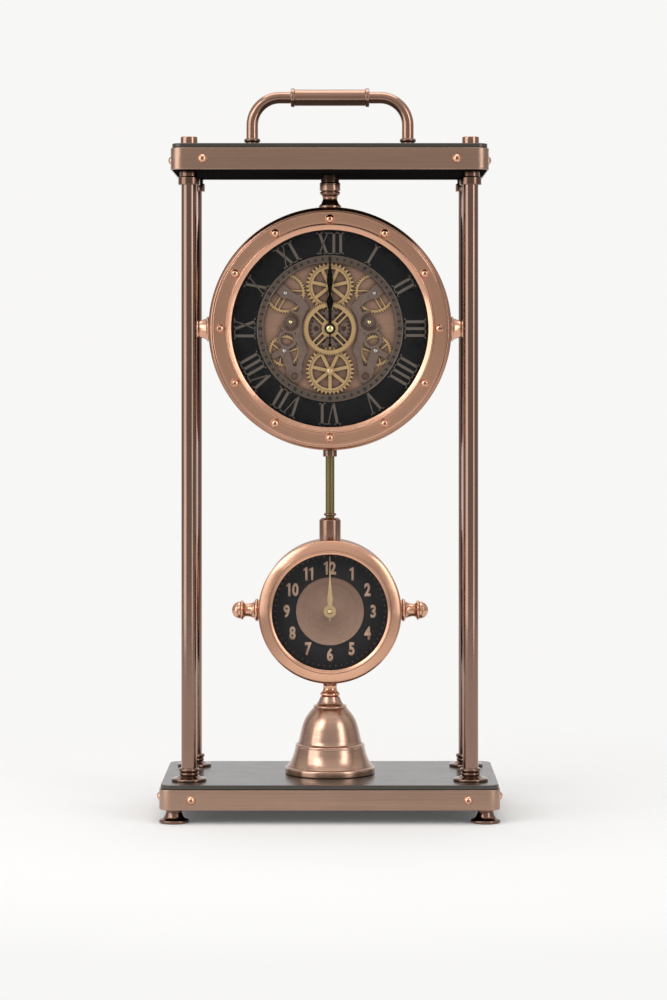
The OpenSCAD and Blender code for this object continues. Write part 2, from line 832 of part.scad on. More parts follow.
module transfer_gear() {
    drum_r = 11;
    bore = bush_r + run_fit;
    color(bronze) at_main() {
        slab(plate_front + end_play, wheel_back) ring(sleeve_r + 2, bore);
        slab(wheel_back, wheel_front) difference() {
            polygon(wheel_outline(transfer_n, gear_m, 90));
            circle(bore);
            for (a = [0:60:300]) rotate(a) translate([14.2, 0]) circle(2.6);
        }
        slab(wheel_front, centre_back) difference() {
            polygon(crown_outline(30, drum_r - 1.3, drum_r));
            circle(bore);
        }
        slab(centre_back, centre_front + 0.3) ring(sleeve_r, bore);
    }
}

// A spoked wheel of the train at height y over the dial's centre
module train_wheel(y, turn) {
    rim_in = gear_m * wheel_n / 2 - 5.6;
    groove = gear_m * wheel_n / 2 - 3;
    spoke = 1.7;
    color(gold) at_main() translate([0, y, 0]) difference() {
        union() {
            slab(wheel_back, wheel_front) difference() {
                polygon(wheel_outline(wheel_n, gear_m, turn));
                difference() {
                    circle(rim_in);
                    for (i = [0:wheel_spokes - 1]) rotate(90 + (i + 0.5) * 360 / wheel_spokes)
                        translate([0, -spoke]) square([rim_in + 1, 2 * spoke]);
                }
            }
            slab(plate_front + end_play, wheel_front + 0.7) circle(wheel_hub_r);
        }
        translate([0, 0, wheel_front - 0.5]) linear_extrude(2) ring(groove + 0.35, groove - 0.35);
        translate([0, 0, plate_front]) cylinder(r = arbor_r + run_fit, h = 3 * wheel_t);
    }
}

module top_gear() {
    train_wheel(train_d, -90 + 180 / wheel_n);
}

module bottom_gear() {
    train_wheel(-train_d, 90);
}

module minute_hand() {
    tail = 17;
    hub = 4.7;
    color(black) at_main() {
        slab(minute_back, minute_front) {
            polygon(spade_outline(minute_len, minute_len * 0.65, 3.5, 1));
            circle(hub);
            translate([-0.7, -tail]) square([1.4, tail]);
            translate([0, -tail]) circle(1.7);
        }
        slab(main_back - knob_gap - set_knob_h / 2, minute_back) circle(shaft_r);
    }
}

module hour_hand() {
    hub = 5.4;
    pipe_l = 14;
    color(black) at_main() {
        slab(hour_back, hour_back + hand_t) difference() {
            union() {
                polygon(spade_outline(hour_len, hour_len * 0.7, 4, 1.5));
                circle(hub);
            }
            circle(shaft_r + run_fit);
        }
        slab(hour_back - pipe_l, hour_back) ring(pipe_r, shaft_r + run_fit);
    }
}

module hand_nut() {
    ball = 3.9;
    neck = ball - 0.7;
    lift = minute_front + 0.4;
    color(gold) at_main()
        revolve(concat([[0, minute_front], [neck, minute_front], [neck, lift]], dome(ball, 1.7, lift)));
}

// A closed clock movement with its bush: face at level z0, bush up to z1
module movement(w, z0, z1, pipe_back) {
    difference() {
        union() {
            slab(z0 - movement_t, z0) rounded(w, w, 4);
            slab(z0, z1) circle(bush_r);
        }
        translate([0, 0, pipe_back - 1]) cylinder(r = pipe_r + run_fit, h = z1 - pipe_back + 2);
        translate([0, 0, z0 - movement_t - 1]) cylinder(r = shaft_r + run_fit, h = movement_t + 2);
    }
}

module main_movement() {
    color(black) at_main() movement(movement_w, plate_back, hour_back - 0.4, hour_back - 14);
}

module set_knob(z) {
    flutes = 18;
    difference() {
        slab(z - set_knob_h, z) difference() {
            circle(set_knob_r);
            for (i = [0:flutes - 1]) rotate(i * 360 / flutes) translate([set_knob_r + 0.5, 0]) circle(1);
        }
        translate([0, 0, z - set_knob_h / 2 - seat_fit]) cylinder(r = shaft_r + seat_fit, h = set_knob_h);
    }
}

module main_set_knob() {
    color(black) at_main() set_knob(main_back - knob_gap);
}

// A pressed back lid that fits inside a case of inner radius r, its outer face at level z
module back_lid(r, z) {
    rim = 6;
    step = 1;
    difference() {
        revolve([[0, z + step], [r - rim - step, z + step], [r - rim, z], [r - 0.6, z], [r, z + 0.6],
                 [r, z + 6], [r - 1.4, z + 6], [r - 1.4, z + 2.5], [0, z + 2.5]]);
        translate([0, 0, z - 1]) cylinder(r = shaft_r + 0.4, h = 6);
    }
}

module main_back_cover() {
    color(black) at_main() back_lid(case_in_r - seat_fit, main_back);
}

module side_cones() {
    big = 13.3;
    small = 8.7;
    root = sqrt(main_r * main_r - big * big) - 0.5;
    color(copper) both_sides() difference() {
        translate([0, 0, main_z]) rotate([0, 90, 0]) revolve(concat(
            [[0, root], [big, root], [big, main_r + 1.2]],
            flare([big - 0.6, main_r + 1.6], [small, main_r + cone_len - 3], 0.75),
            dome(small, 2.6, main_r + cone_len - 2.6)));
        main_saddle();
    }
    color(steel) both_sides() translate([main_r - case_wall - 2, 0, main_z]) rotate([0, 90, 0])
        cylinder(r = stem_pin_r, h = case_wall + 6);
}

// Link rod

// One turned rod with a bead over the ferrule and a collar under the main case
module link_rod() {
    low = sub_z + sub_r - sub_wall - 2;
    high = main_z - main_r + case_wall + 2;
    bead_h = 2.8;
    bead_z = sub_z + sub_r + ferrule_h + 2.1;
    collar_r = rod_r + 2.65;
    collar_z = main_z - main_r - 7;
    color(olive_brass) {
        translate([0, 0, low]) cylinder(r = rod_r, h = high - low);
        revolve(concat([[0, bead_z]], bead(rod_r + 1.95, bead_z, bead_z + bead_h), [[0, bead_z + bead_h]]));
        difference() {
            revolve([[0, collar_z], [collar_r - 0.4, collar_z], [collar_r, collar_z + 0.4],
                     [collar_r, collar_z + 8], [0, collar_z + 8]]);
            main_saddle();
        }
    }
}

module rod_ferrule() {
    in_r = rod_r + seat_fit;
    seat = sub_z + sqrt(sub_r * sub_r - ferrule_r * ferrule_r) - 0.5;
    top = sub_z + sub_r + ferrule_h;
    color(copper) difference() {
        revolve([[in_r, seat], [ferrule_r, seat], [ferrule_r, top - 2.4],
                 [ferrule_r - 2.4, top], [in_r, top]]);
        sub_saddle();
    }
}

// Small clock

module sub_case() {
    in_r = sub_r - sub_wall;
    pin = stem_pin_r + seat_fit;
    color(copper) difference() {
        at_sub() revolve([
            [in_r, sub_back], [sub_r - 1, sub_back], [sub_r, sub_back + 1], [sub_r, sub_front],
            [sub_open_r + 1.2, sub_front], [sub_open_r + 1.2, sub_dial_front], [in_r, sub_dial_front]]);
        translate([0, 0, sub_z + sub_r - sub_wall - 5]) cylinder(r = rod_r + seat_fit, h = sub_wall + 10);
        translate([0, 0, sub_z - sub_r - 5]) cylinder(r = pin, h = sub_wall + 10);
        both_sides() translate([sub_r - sub_wall - 5, 0, sub_z]) rotate([0, 90, 0])
            cylinder(r = pin, h = sub_wall + 10);
    }
}

// Turned knob on the side of the small case
module side_knob() {
    big = 12.1;
    neck = 6.8;
    root = sqrt(sub_r * sub_r - big * big) - 0.5;
    difference() {
        translate([0, 0, sub_z]) rotate([0, 90, 0]) revolve(concat(
            [[0, root], [big - 1.6, root], [big - 1.6, sub_r + 0.06 * knob_len]],
            bead(big, sub_r + 0.065 * knob_len, sub_r + 0.235 * knob_len),
            flare([big - 3.2, sub_r + 0.24 * knob_len], [neck, sub_r + 0.3 * knob_len], 0.6, 5),
            [[neck, sub_r + 0.575 * knob_len]],
            bead(10.4, sub_r + 0.58 * knob_len, sub_r + 0.684 * knob_len),
            [[8.4, sub_r + 0.69 * knob_len]],
            dome(9.2, 0.3 * knob_len, sub_r + 0.7 * knob_len)));
        sub_saddle();
    }
    translate([sub_r - sub_wall - 2, 0, sub_z]) rotate([0, 90, 0]) cylinder(r = stem_pin_r, h = sub_wall + 6);
}

module sub_knobs() {
    color(copper) both_sides() side_knob();
}

module sub_bezel() {
    seat_r = sub_open_r + lens_lip + 0.3;
    ridge_in = sub_open_r + 3;
    ridge_out = ridge_in + 0.8;
    soft = 2;
    edge = arc(sub_bezel_r - soft, sub_front + 3.2, soft, 0, 65, 5);
    top = sub_front + sub_bezel_h;
    color(copper) at_sub() revolve(concat(
        [[seat_r, sub_front], [sub_r - 0.6, sub_front], [sub_bezel_r, sub_front + 1.6]], edge,
        flare(edge[5] + [-0.2, 0.1], [ridge_out + 0.4, top - 0.4], 1.25),
        [[ridge_out, top], [ridge_in, top], [ridge_in - 0.3, top - 0.8],
         [sub_open_r, sub_front + lens_t + 1], [sub_open_r, sub_front + lens_t + seat_fit],
         [seat_r, sub_front + lens_t + seat_fit]]));
}

module sub_lens() {
    color(clear) at_sub() translate([0, 0, sub_front]) cylinder(r = sub_open_r + lens_lip, h = lens_t);
}

module sub_dial() {
    color(black) at_sub() slab(sub_dial_front - sub_dial_t, sub_dial_front)
        ring(sub_r - sub_wall - seat_fit, bush_r + seat_fit);
}

module sub_dial_disc() {
    color(brown_copper) at_sub() slab(sub_dial_front, sub_dial_front + sub_disc_t)
        ring(sub_disc_r, bush_r + seat_fit);
}

module sub_minute_hand() {
    hub = 3.6;
    tail = 10;
    front = sub_minute_back + hand_t;
    color(gold) at_sub() {
        slab(sub_minute_back, front) {
            polygon([[-1.4, 0], [-0.3, sub_minute_len], [0.3, sub_minute_len],
                     [1.4, 0], [0.4, -tail], [-0.4, -tail]]);
            circle(hub);
        }
        revolve(concat([[0, front]], dome(3, 2.6, front)));
        slab(sub_back - knob_gap - set_knob_h / 2, sub_minute_back) circle(shaft_r);
    }
}

module sub_hour_hand() {
    hub = 6.6;
    pipe_l = 10;
    leaf = 3;
    widest = 12;
    color(gold) at_sub() {
        slab(sub_hour_back, sub_hour_back + hand_t) difference() {
            union() {
                polygon([[-1.6, 0], [-leaf, widest], [-0.25, sub_hour_len],
                         [0.25, sub_hour_len], [leaf, widest], [1.6, 0]]);
                circle(hub);
            }
            circle(shaft_r + run_fit);
        }
        slab(sub_hour_back - pipe_l, sub_hour_back) ring(pipe_r, shaft_r + run_fit);
    }
}

module sub_movement() {
    face = sub_dial_front - sub_dial_t;
    color(black) at_sub() movement(sub_movement_w, face, sub_hour_back - 0.4, sub_hour_back - 10);
}

module sub_set_knob() {
    color(black) at_sub() set_knob(sub_back - knob_gap);
}

module sub_back_cover() {
    color(black) at_sub() back_lid(sub_r - sub_wall - seat_fit, sub_back);
}

// Foot of the small clock

module pedestal_neck() {
    top = sub_z - sub_r;
    rise = top - bell_top;
    flare_r = 11.4;
    seat = sub_z - sqrt(sub_r * sub_r - flare_r * flare_r) + 0.5;
    color(copper) difference() {
        union() {
            revolve(concat(
                [[0, bell_top], [9.6, bell_top]],
                bead(10.4, bell_top + 0.02 * rise, bell_top + 0.29 * rise),
                flare([8.2, bell_top + 0.32 * rise], [7.2, bell_top + 0.46 * rise], 1, 2),
                flare([7.2, bell_top + 0.6 * rise], [flare_r, top - 0.06 * rise], 2.2, 7),
                [[flare_r, seat], [0, seat]]));
            translate([0, 0, bell_top - neck_stud_l]) cylinder(r = stem_pin_r, h = neck_stud_l + 1);
            translate([0, 0, top - 4]) cylinder(r = stem_pin_r, h = sub_wall + 6);
        }
        difference() {
            sub_saddle();
            translate([0, 0, top - 4]) cylinder(r = stem_pin_r, h = sub_wall + 6);
        }
    }
}

// Bell outline from the rim up to the top ring, as shares of the rim's radius and the height
bell_line = [
    [0.949, 0.1], [0.88, 0.158], [0.822, 0.232], [0.79, 0.3], [0.772, 0.345], [0.77, 0.372],
    [0.735, 0.394], [0.697, 0.43], [0.672, 0.494], [0.646, 0.559], [0.616, 0.625], [0.574, 0.69],
    [0.512, 0.755], [0.425, 0.821], [0.366, 0.858]
];

// The bell's outline drawn in by t, with the ring and the flare over it if top is set
function bell_side(t, top) =
    let (ring_r = 0.372 * bell_r)
    concat(
        [for (p = bell_line) [p[0] * bell_r - t, p[1] * bell_h]],
        top ? concat([[ring_r, 0.866 * bell_h], [ring_r, 0.883 * bell_h], [ring_r - 1.6, 0.89 * bell_h]],
                     flare([ring_r - 2, 0.893 * bell_h], [10.1, bell_h], 0.55, 5)) : []);

module pedestal_bell() {
    rim = 0.09 * bell_h;
    bore = stem_pin_r + seat_fit;
    inner = bell_side(bell_t, false);
    n = len(inner);
    color(copper) translate([0, 0, z_deck]) revolve(concat(
        [[bell_r - bell_t - 3.2, 0], [bell_r - 0.6, 0], [bell_r, 0.6],
         [bell_r, rim - 0.8], [bell_r - 0.8, rim]],
        bell_side(0, true),
        [[bore, bell_h], [bore, inner[n - 1][1] - bell_t]],
        [for (i = [n - 2:-1:0]) [inner[i][0], inner[i][1] - 1]]));
}

base_band();
base_board();
base_plate();
feet();
band_screws();
post(-1, -1);  // post_front_left
post(1, -1);  // post_front_right
post(-1, 1);  // post_rear_left
post(1, 1);  // post_rear_right
post_flanges();
post_collars();
post_caps();
tie_rods();
top_band();
top_board();
top_plate();
handle_bail();
handle_grip();
handle_rings();
handle_flanges();
hanger_stem();
main_case();
main_bezel();
bezel_screws();
main_lens();
chapter_ring();
minute_track();
gear_plate();
bridge_left();
bridge_right();
bridge_screws();
upper_wheels();
lower_wheels();
side_pinions();
centre_gear();
transfer_gear();
top_gear();
bottom_gear();
minute_hand();
hour_hand();
hand_nut();
main_movement();
main_set_knob();
main_back_cover();
side_cones();
link_rod();
rod_ferrule();
sub_case();
sub_knobs();
sub_bezel();
sub_lens();
sub_dial();
sub_dial_disc();
sub_minute_hand();
sub_hour_hand();
sub_movement();
sub_set_knob();
sub_back_cover();
pedestal_neck();
pedestal_bell();
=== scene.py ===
"""Copper floor clock: turned copper work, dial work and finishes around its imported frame."""

import json
import math

import bmesh
import bpy
import numpy as np
from bpy.props import FloatProperty, FloatVectorProperty, IntProperty, PointerProperty
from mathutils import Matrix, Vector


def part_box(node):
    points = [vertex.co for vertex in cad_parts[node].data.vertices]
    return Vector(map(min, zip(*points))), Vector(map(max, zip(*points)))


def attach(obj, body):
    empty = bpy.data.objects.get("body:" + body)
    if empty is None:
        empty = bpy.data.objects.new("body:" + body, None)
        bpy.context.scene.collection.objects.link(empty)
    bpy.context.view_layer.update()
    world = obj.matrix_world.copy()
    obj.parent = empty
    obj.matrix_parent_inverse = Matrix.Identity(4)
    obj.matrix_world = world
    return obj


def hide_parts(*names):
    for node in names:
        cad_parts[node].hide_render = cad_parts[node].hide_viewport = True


bl_info = {
    "name": "Copper floor clock",
    "version": (1, 0, 0),
    "blender": (4, 5, 0),
    "location": "View3D > Sidebar > Clock",
    "description": "Builds the copper floor clock's surfaces, dials and finishes around its packed frame",
    "category": "Object",
}

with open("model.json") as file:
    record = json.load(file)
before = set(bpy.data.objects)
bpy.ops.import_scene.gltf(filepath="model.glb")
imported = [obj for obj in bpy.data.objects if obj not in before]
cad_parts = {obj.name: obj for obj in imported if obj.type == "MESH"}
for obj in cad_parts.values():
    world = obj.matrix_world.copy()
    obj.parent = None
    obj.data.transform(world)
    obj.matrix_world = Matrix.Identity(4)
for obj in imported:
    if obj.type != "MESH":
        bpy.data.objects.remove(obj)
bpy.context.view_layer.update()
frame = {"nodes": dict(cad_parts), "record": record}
MM = 0.001
BODIES = frame["record"]["behaviour"]["bodies"]
BODY_OF = {node: body for body, nodes in BODIES.items() for node in nodes}


def low(node):
    """Lowest corner of a CAD node, in metres."""
    return np.array(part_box(node)[0])


def high(node):
    """Highest corner of a CAD node, in metres."""
    return np.array(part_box(node)[1])


def middle(node):
    """Middle of a CAD node's box, in metres."""
    return (low(node) + high(node)) / 2


def extent(node):
    """Width, depth, bottom and top of a CAD node, in metres."""
    lowest, highest = low(node), high(node)
    return (*(highest - lowest)[:2], lowest[2], highest[2])


def half(node, axis=0):
    """Half of a CAD node's extent along an axis, in millimetres."""
    return float((high(node) - low(node))[axis] / 2 / MM)


FLOOR_TOP = high("base_plate")[2]
TOP_UNDER = low("top_board")[2]
ROOF = high("top_plate")[2]
MAIN_Z = middle("main_case")[2]
MAIN_R = (high("main_case")[2] - low("main_case")[2]) / 2
MAIN_FRONT = -low("main_case")[1]
MAIN_BACK = -high("main_case")[1]
SUB_Z = middle("sub_dial")[2]
SUB_R = (high("sub_case")[2] - low("sub_case")[2]) / 2
SUB_FRONT = -low("sub_case")[1]
SUB_BACK = -high("sub_case")[1]
POST_X = middle("post_front_right")[0]
POST_Y = middle("post_rear_right")[1]
POST_R = (high("post_front_right")[0] - low("post_front_right")[0]) / 2
CORNERS = [(sx, sy) for sx in (-1, 1) for sy in (-1, 1)]

# In millimetres: the clearance of a sleeve round a tube, and the step in a bezel that holds its lens
FIT = 0.05
LENS_SEAT = 2.05


def length(name, description, millimetres):
    """A size setting, given in millimetres."""
    return FloatProperty(name=name, description=description, default=millimetres * MM, unit="LENGTH")


def tint(name, description, colour):
    """A colour setting, in linear light."""
    return FloatVectorProperty(
        name=name, description=description, default=colour, subtype="COLOR", min=0, max=1
    )


class ClockSizes(bpy.types.PropertyGroup):
    """Sizes of the dressing that the solids leave open."""

    turns: IntProperty(
        name="Turned faces", description="Faces round a large turned piece", default=192, min=48
    )
    small_turns: IntProperty(
        name="Small faces", description="Faces round a small piece", default=64, min=24
    )
    cut_edge: length("Cut edge", "Bevel on cut wheels, bridges and hands", 0.18)
    roman_height: length("Roman height", "Height of the hour numerals", 22.4)
    roman_radius: length("Roman circle", "Circle through the numerals' middles", 88.5)
    figure_height: length("Figure height", "Height of the small dial's figures", 13.7)
    figure_radius: length("Figure circle", "Circle through the figures' middles", 45.1)
    relief: length("Print relief", "How far printed marks stand up", 0.12)


class ClockColours(bpy.types.PropertyGroup):
    """Main colours of the finishes, in linear light."""

    rose: tint("Rose copper", "Bezels, knobs and turned work", (0.78, 0.428, 0.282))
    band: tint("Band copper", "Brushed bands round the boards", (0.43, 0.268, 0.194))
    post: tint("Post copper", "Brown copper of the posts and feet", (0.215, 0.118, 0.08))
    gold: tint("Wheel gold", "Antique gold of the wheels", (0.80, 0.54, 0.27))
    bronze: tint("Bridge bronze", "Dull bronze of the bridges", (0.30, 0.215, 0.175))
    rod: tint("Rod brass", "Olive brass of the link rod", (0.50, 0.39, 0.135))


# Shader building


class Wire:
    """A shader socket on which Python's operators act; each operation adds one Math node."""

    def __init__(self, tree, socket):
        self.tree = tree
        self.socket = socket

    def math(self, operation, *values):
        """One Math node over the given values, each a number or another wire."""
        made = self.tree.nodes.new("ShaderNodeMath")
        made.operation = operation
        for socket, value in zip(made.inputs, values):
            feed(self.tree, socket, value)
        return Wire(self.tree, made.outputs[0])

    def __add__(self, other):
        return self.math("ADD", self, other)

    __radd__ = __add__

    def __sub__(self, other):
        return self.math("SUBTRACT", self, other)

    def __rsub__(self, other):
        return self.math("SUBTRACT", other, self)

    def __mul__(self, other):
        return self.math("MULTIPLY", self, other)

    __rmul__ = __mul__

    def __truediv__(self, other):
        return self.math("DIVIDE", self, other)

    def __rtruediv__(self, other):
        return self.math("DIVIDE", other, self)

    def __pow__(self, other):
        return self.math("POWER", self, other)

    def __rpow__(self, other):
        return self.math("POWER", other, self)

    def unit(self):
        """Held between 0 and 1."""
        return self.math("MINIMUM", self.math("MAXIMUM", self, 0.0), 1.0)


def feed(tree, socket, value):
    """Links a wire to a socket, or sets the socket's own value."""
    if isinstance(value, Wire):
        tree.links.new(value.socket, socket)
    else:
        socket.default_value = value


class Recipe:
    """A node tree and the one method that adds a node of any other kind to it."""

    def __init__(self, tree):
        self.tree = tree
        tree.nodes.clear()

    def node(self, kind, settings=(), sockets=(), out=0):
        """Adds a node, sets its settings first and its sockets after, and returns one output, if any."""
        made = self.tree.nodes.new("ShaderNode" + kind)
        for key, value in dict(settings).items():
            setattr(made, key, value)
        for key, value in dict(sockets).items():
            feed(self.tree, made.inputs[key], value)
        return Wire(self.tree, made.outputs[out]) if made.outputs else None

    def place(self):
        """The point in the clock's own frame, in metres."""
        return self.node("TexCoord", out="Object")

    def axes(self, vector):
        """The three numbers of a vector."""
        split = self.node("SeparateXYZ", sockets={0: vector})
        return [Wire(self.tree, socket) for socket in split.socket.node.outputs]

    def stretched(self, stretch, vector=None):
        """The place, scaled apart along the axes."""
        return self.node("Mapping", sockets={"Vector": vector or self.place(), "Scale": stretch})

    def noise(self, scale, detail=2.0, rough=0.5, stretch=(1.0, 1.0, 1.0), vector=None):
        """A noise value about 0.5, stretched along the axes."""
        return self.node(
            "TexNoise",
            sockets={
                "Vector": self.stretched(stretch, vector),
                "Scale": scale,
                "Detail": detail,
                "Roughness": rough,
            },
        )

    def mix(self, amount, first, second):
        """Two colours mixed by an amount."""
        return self.node("Mix", {"data_type": "RGBA"}, {0: amount, 6: first, 7: second}, out=2)

    def bump(self, height, distance):
        """A bumped normal from a height between 0 and 1, in metres for the whole height."""
        return self.node("Bump", sockets={"Height": height, "Distance": distance, "Strength": 1.0})

    def mark(self, name):
        """A number kept on the piece's own points."""
        return self.node("Attribute", {"attribute_name": name}, out="Fac")


class Finish(Recipe):
    """A material with one main shader, and the wear that the metals and paints share."""

    def __init__(self, name, **constants):
        self.material = bpy.data.materials.new(name)
        self.material.use_nodes = True
        super().__init__(self.material.node_tree)
        self.shader = self.node("BsdfPrincipled")
        self.set(**constants)

    def set(self, **values):
        """Feeds the main shader's sockets; an underscore stands for a space."""
        inputs = self.shader.socket.node.inputs
        for key, value in values.items():
            feed(self.tree, inputs[key.replace("_", " ")], value)

    def done(self, surface=None):
        """Links the given shader, or else the main one, to the output and returns the material."""
        self.node("OutputMaterial", sockets={"Surface": surface or self.shader})
        return self.material

    def hollow(self):
        """How deep the surface lies in a hollow, from 0 to 1, by the relief kept on its points."""
        return (self.mark("relief") * -7.0).unit()

    def edge(self, flush=0.12):
        """How far the surface stands out as an edge, from 0 to 1, past what counts as flush."""
        return (self.mark("relief") * 4.0 - flush).unit()

    def aged(self, colour, tone, hollow, bared, shade, soot):
        """A metal's colour: shaded by tone, sooty in the hollows and bright where the edge is bared."""
        plain = self.mix(tone, rgba(colour), rgba(colour, shade))
        dull = self.mix(hollow * 0.85, plain, rgba(colour, soot))
        bright = [min(1.0, channel * 1.25 + 0.06) for channel in colour]
        return self.mix(bared, dull, rgba(bright))


def rgba(colour, factor=1.0):
    """A colour with full cover, darkened by a factor."""
    return (*(channel * factor for channel in colour), 1.0)


PLAIN = (1.0, 1.0, 1.0)
COAT, COAT_ROUGH = 0.35, 0.12


def metal(
    name, colour, rough, brush, scale, depth, dark=0.42, cloud=14.0, worn=0.55, streak=0.9, cut=0.0,
    coat=COAT, glance=PLAIN,
):
    """Plated metal: brushed grain, slow clouds of patina, dark hollows and bright worn edges.

    The grain is stretched by brush along the axes and stands up by depth; streak is how much it shows.
    Flat cut pieces get painted shade: walls turned away from the front are darkened, and so is what lies
    within the distance cut of their neighbours, by an occlusion node.
    Glance tints the light that grazes the metal, and coat is how much clear lacquer lies on it.
    """
    made = Finish(
        name, Metallic=1.0, Coat_Weight=coat, Coat_Roughness=COAT_ROUGH, Specular_Tint=rgba(glance)
    )
    grain = made.noise(scale, 3.0, 0.6, brush)
    patina = made.noise(cloud, 4.0, 0.55)
    specks = made.noise(900.0, 1.0, 0.5)
    hollow, edge = made.hollow(), made.edge()
    tone = ((grain - 0.5) * streak + (patina - 0.5) * 1.1 + (specks - 0.5) * 0.25 + 0.36).unit()
    base = made.aged(colour, tone, hollow, edge * worn, dark + 0.22, dark * 0.6)
    # Painted shade: darker on walls turned from the front and where neighbours occlude the surface
    if cut:
        _, level, _ = made.axes(made.node("NewGeometry", out="Normal"))
        open_air = made.node("AmbientOcclusion", {"samples": 8}, {"Distance": cut}, out="AO")
        painted_shade = (1.0 - (level * -1.0).unit() * (open_air * 1.25 - 0.25).unit()).unit()
        base = made.mix(painted_shade * 0.92, base, rgba(colour, 0.12))
    uneven = (grain - 0.5) * 0.16 + (patina - 0.5) * 0.14
    roughness = (rough + uneven + hollow * 0.2 - edge * 0.06).unit()
    made.set(Base_Color=base, Roughness=roughness, Normal=made.bump(grain, depth))
    return made.done()


def ringed(name, colour, rough, centre_z, pitch, depth, dark=0.42, painted_sheen=0.0, lean=0.7):
    """Metal turned about a dial's middle: fine rings by the distance from it, with patina clouds.

    A painted sheen, darker and lighter sectors in place of the reflections on turned metal, goes round as
    the cosine of twice the angle, its lean in radians.
    """
    made = Finish(name, Metallic=1.0, Coat_Weight=COAT, Coat_Roughness=COAT_ROUGH)
    x, _, z = made.axes(made.place())
    rise = z - centre_z
    radius = (x * x + rise * rise) ** 0.5
    along = made.node("CombineXYZ", sockets={0: radius, 1: 0.0, 2: 0.0})
    rings = made.noise(pitch, 3.0, 0.65, vector=along)
    patina = made.noise(16.0, 4.0, 0.55)
    hollow, edge = made.hollow(), made.edge()
    angle = x.math("ARCTAN2", x, rise)
    # Painted sheen: light and dark sectors painted into the colour in place of reflections
    streak = angle.math("COSINE", angle * 2.0 - lean) * painted_sheen
    tone = ((rings - 0.5) * 0.8 + (patina - 0.5) * 0.9 + 0.34 + streak).unit()
    base = made.aged(colour, tone, hollow, edge * 0.5, dark + 0.24, dark * 0.6)
    roughness = (rough + (rings - 0.5) * 0.14 + (patina - 0.5) * 0.12 + hollow * 0.2).unit()
    made.set(Base_Color=base, Roughness=roughness, Normal=made.bump(rings, depth))
    return made.done()


def painted(name, colour, rough, speck, depth, mottle=0.35, gloss=0.5):
    """Paint or lacquer: a fine mottle, an orange-peel bump and rubbed edges."""
    made = Finish(name, Metallic=0.0, Specular_IOR_Level=gloss, Specular_Tint=(1.0, 0.965, 0.94, 1.0))
    cloud = made.noise(30.0, 4.0, 0.6)
    grain = made.noise(speck, 2.0, 0.6)
    tone = ((cloud - 0.5) * 0.8 + (grain - 0.5) * 0.8 + 0.5).unit()
    plain = made.mix(tone, rgba(colour, 1.0 - mottle), rgba(colour, 1.0 + mottle))
    rubbed = [channel * 2.2 + 0.03 for channel in colour]
    base = made.mix(made.edge(0.1) * 0.35, plain, rgba(rubbed))
    roughness = (rough + (grain - 0.5) * 0.18 + (cloud - 0.5) * 0.12).unit()
    made.set(Base_Color=base, Roughness=roughness, Normal=made.bump(grain, depth))
    return made.done()


def clear_glass(name):
    """A thin clear lens: light goes straight through and only the gloss is seen."""
    made = Finish(name, Metallic=0.0, Roughness=0.03, Base_Color=(0.0, 0.0, 0.0, 1.0), IOR=1.45)
    smear = made.noise(9.0, 3.0, 0.6)
    grazed = made.node("LayerWeight", sockets={"Blend": 0.12}, out="Fresnel")
    seen = (grazed * 0.3 + smear * 0.05).unit()
    through = made.node("BsdfTransparent")
    return made.done(made.node("MixShader", sockets={0: seen, 1: through, 2: made.shader}))


FINISHES = {}

# How a metal's grain is stretched along x, y and z: brushed along an axis, or turned about one
EVEN = PLAIN
BRUSHED_X, BRUSHED_Z = (6.0, 900.0, 900.0), (900.0, 900.0, 6.0)
TURNED_X, TURNED_Y, TURNED_Z = (1500.0, 30.0, 30.0), (30.0, 1500.0, 30.0), (30.0, 30.0, 1500.0)
DRAWN = (40.0, 40.0, 700.0)
FINE_RINGS, WIDE_RINGS = 2200.0, 900.0


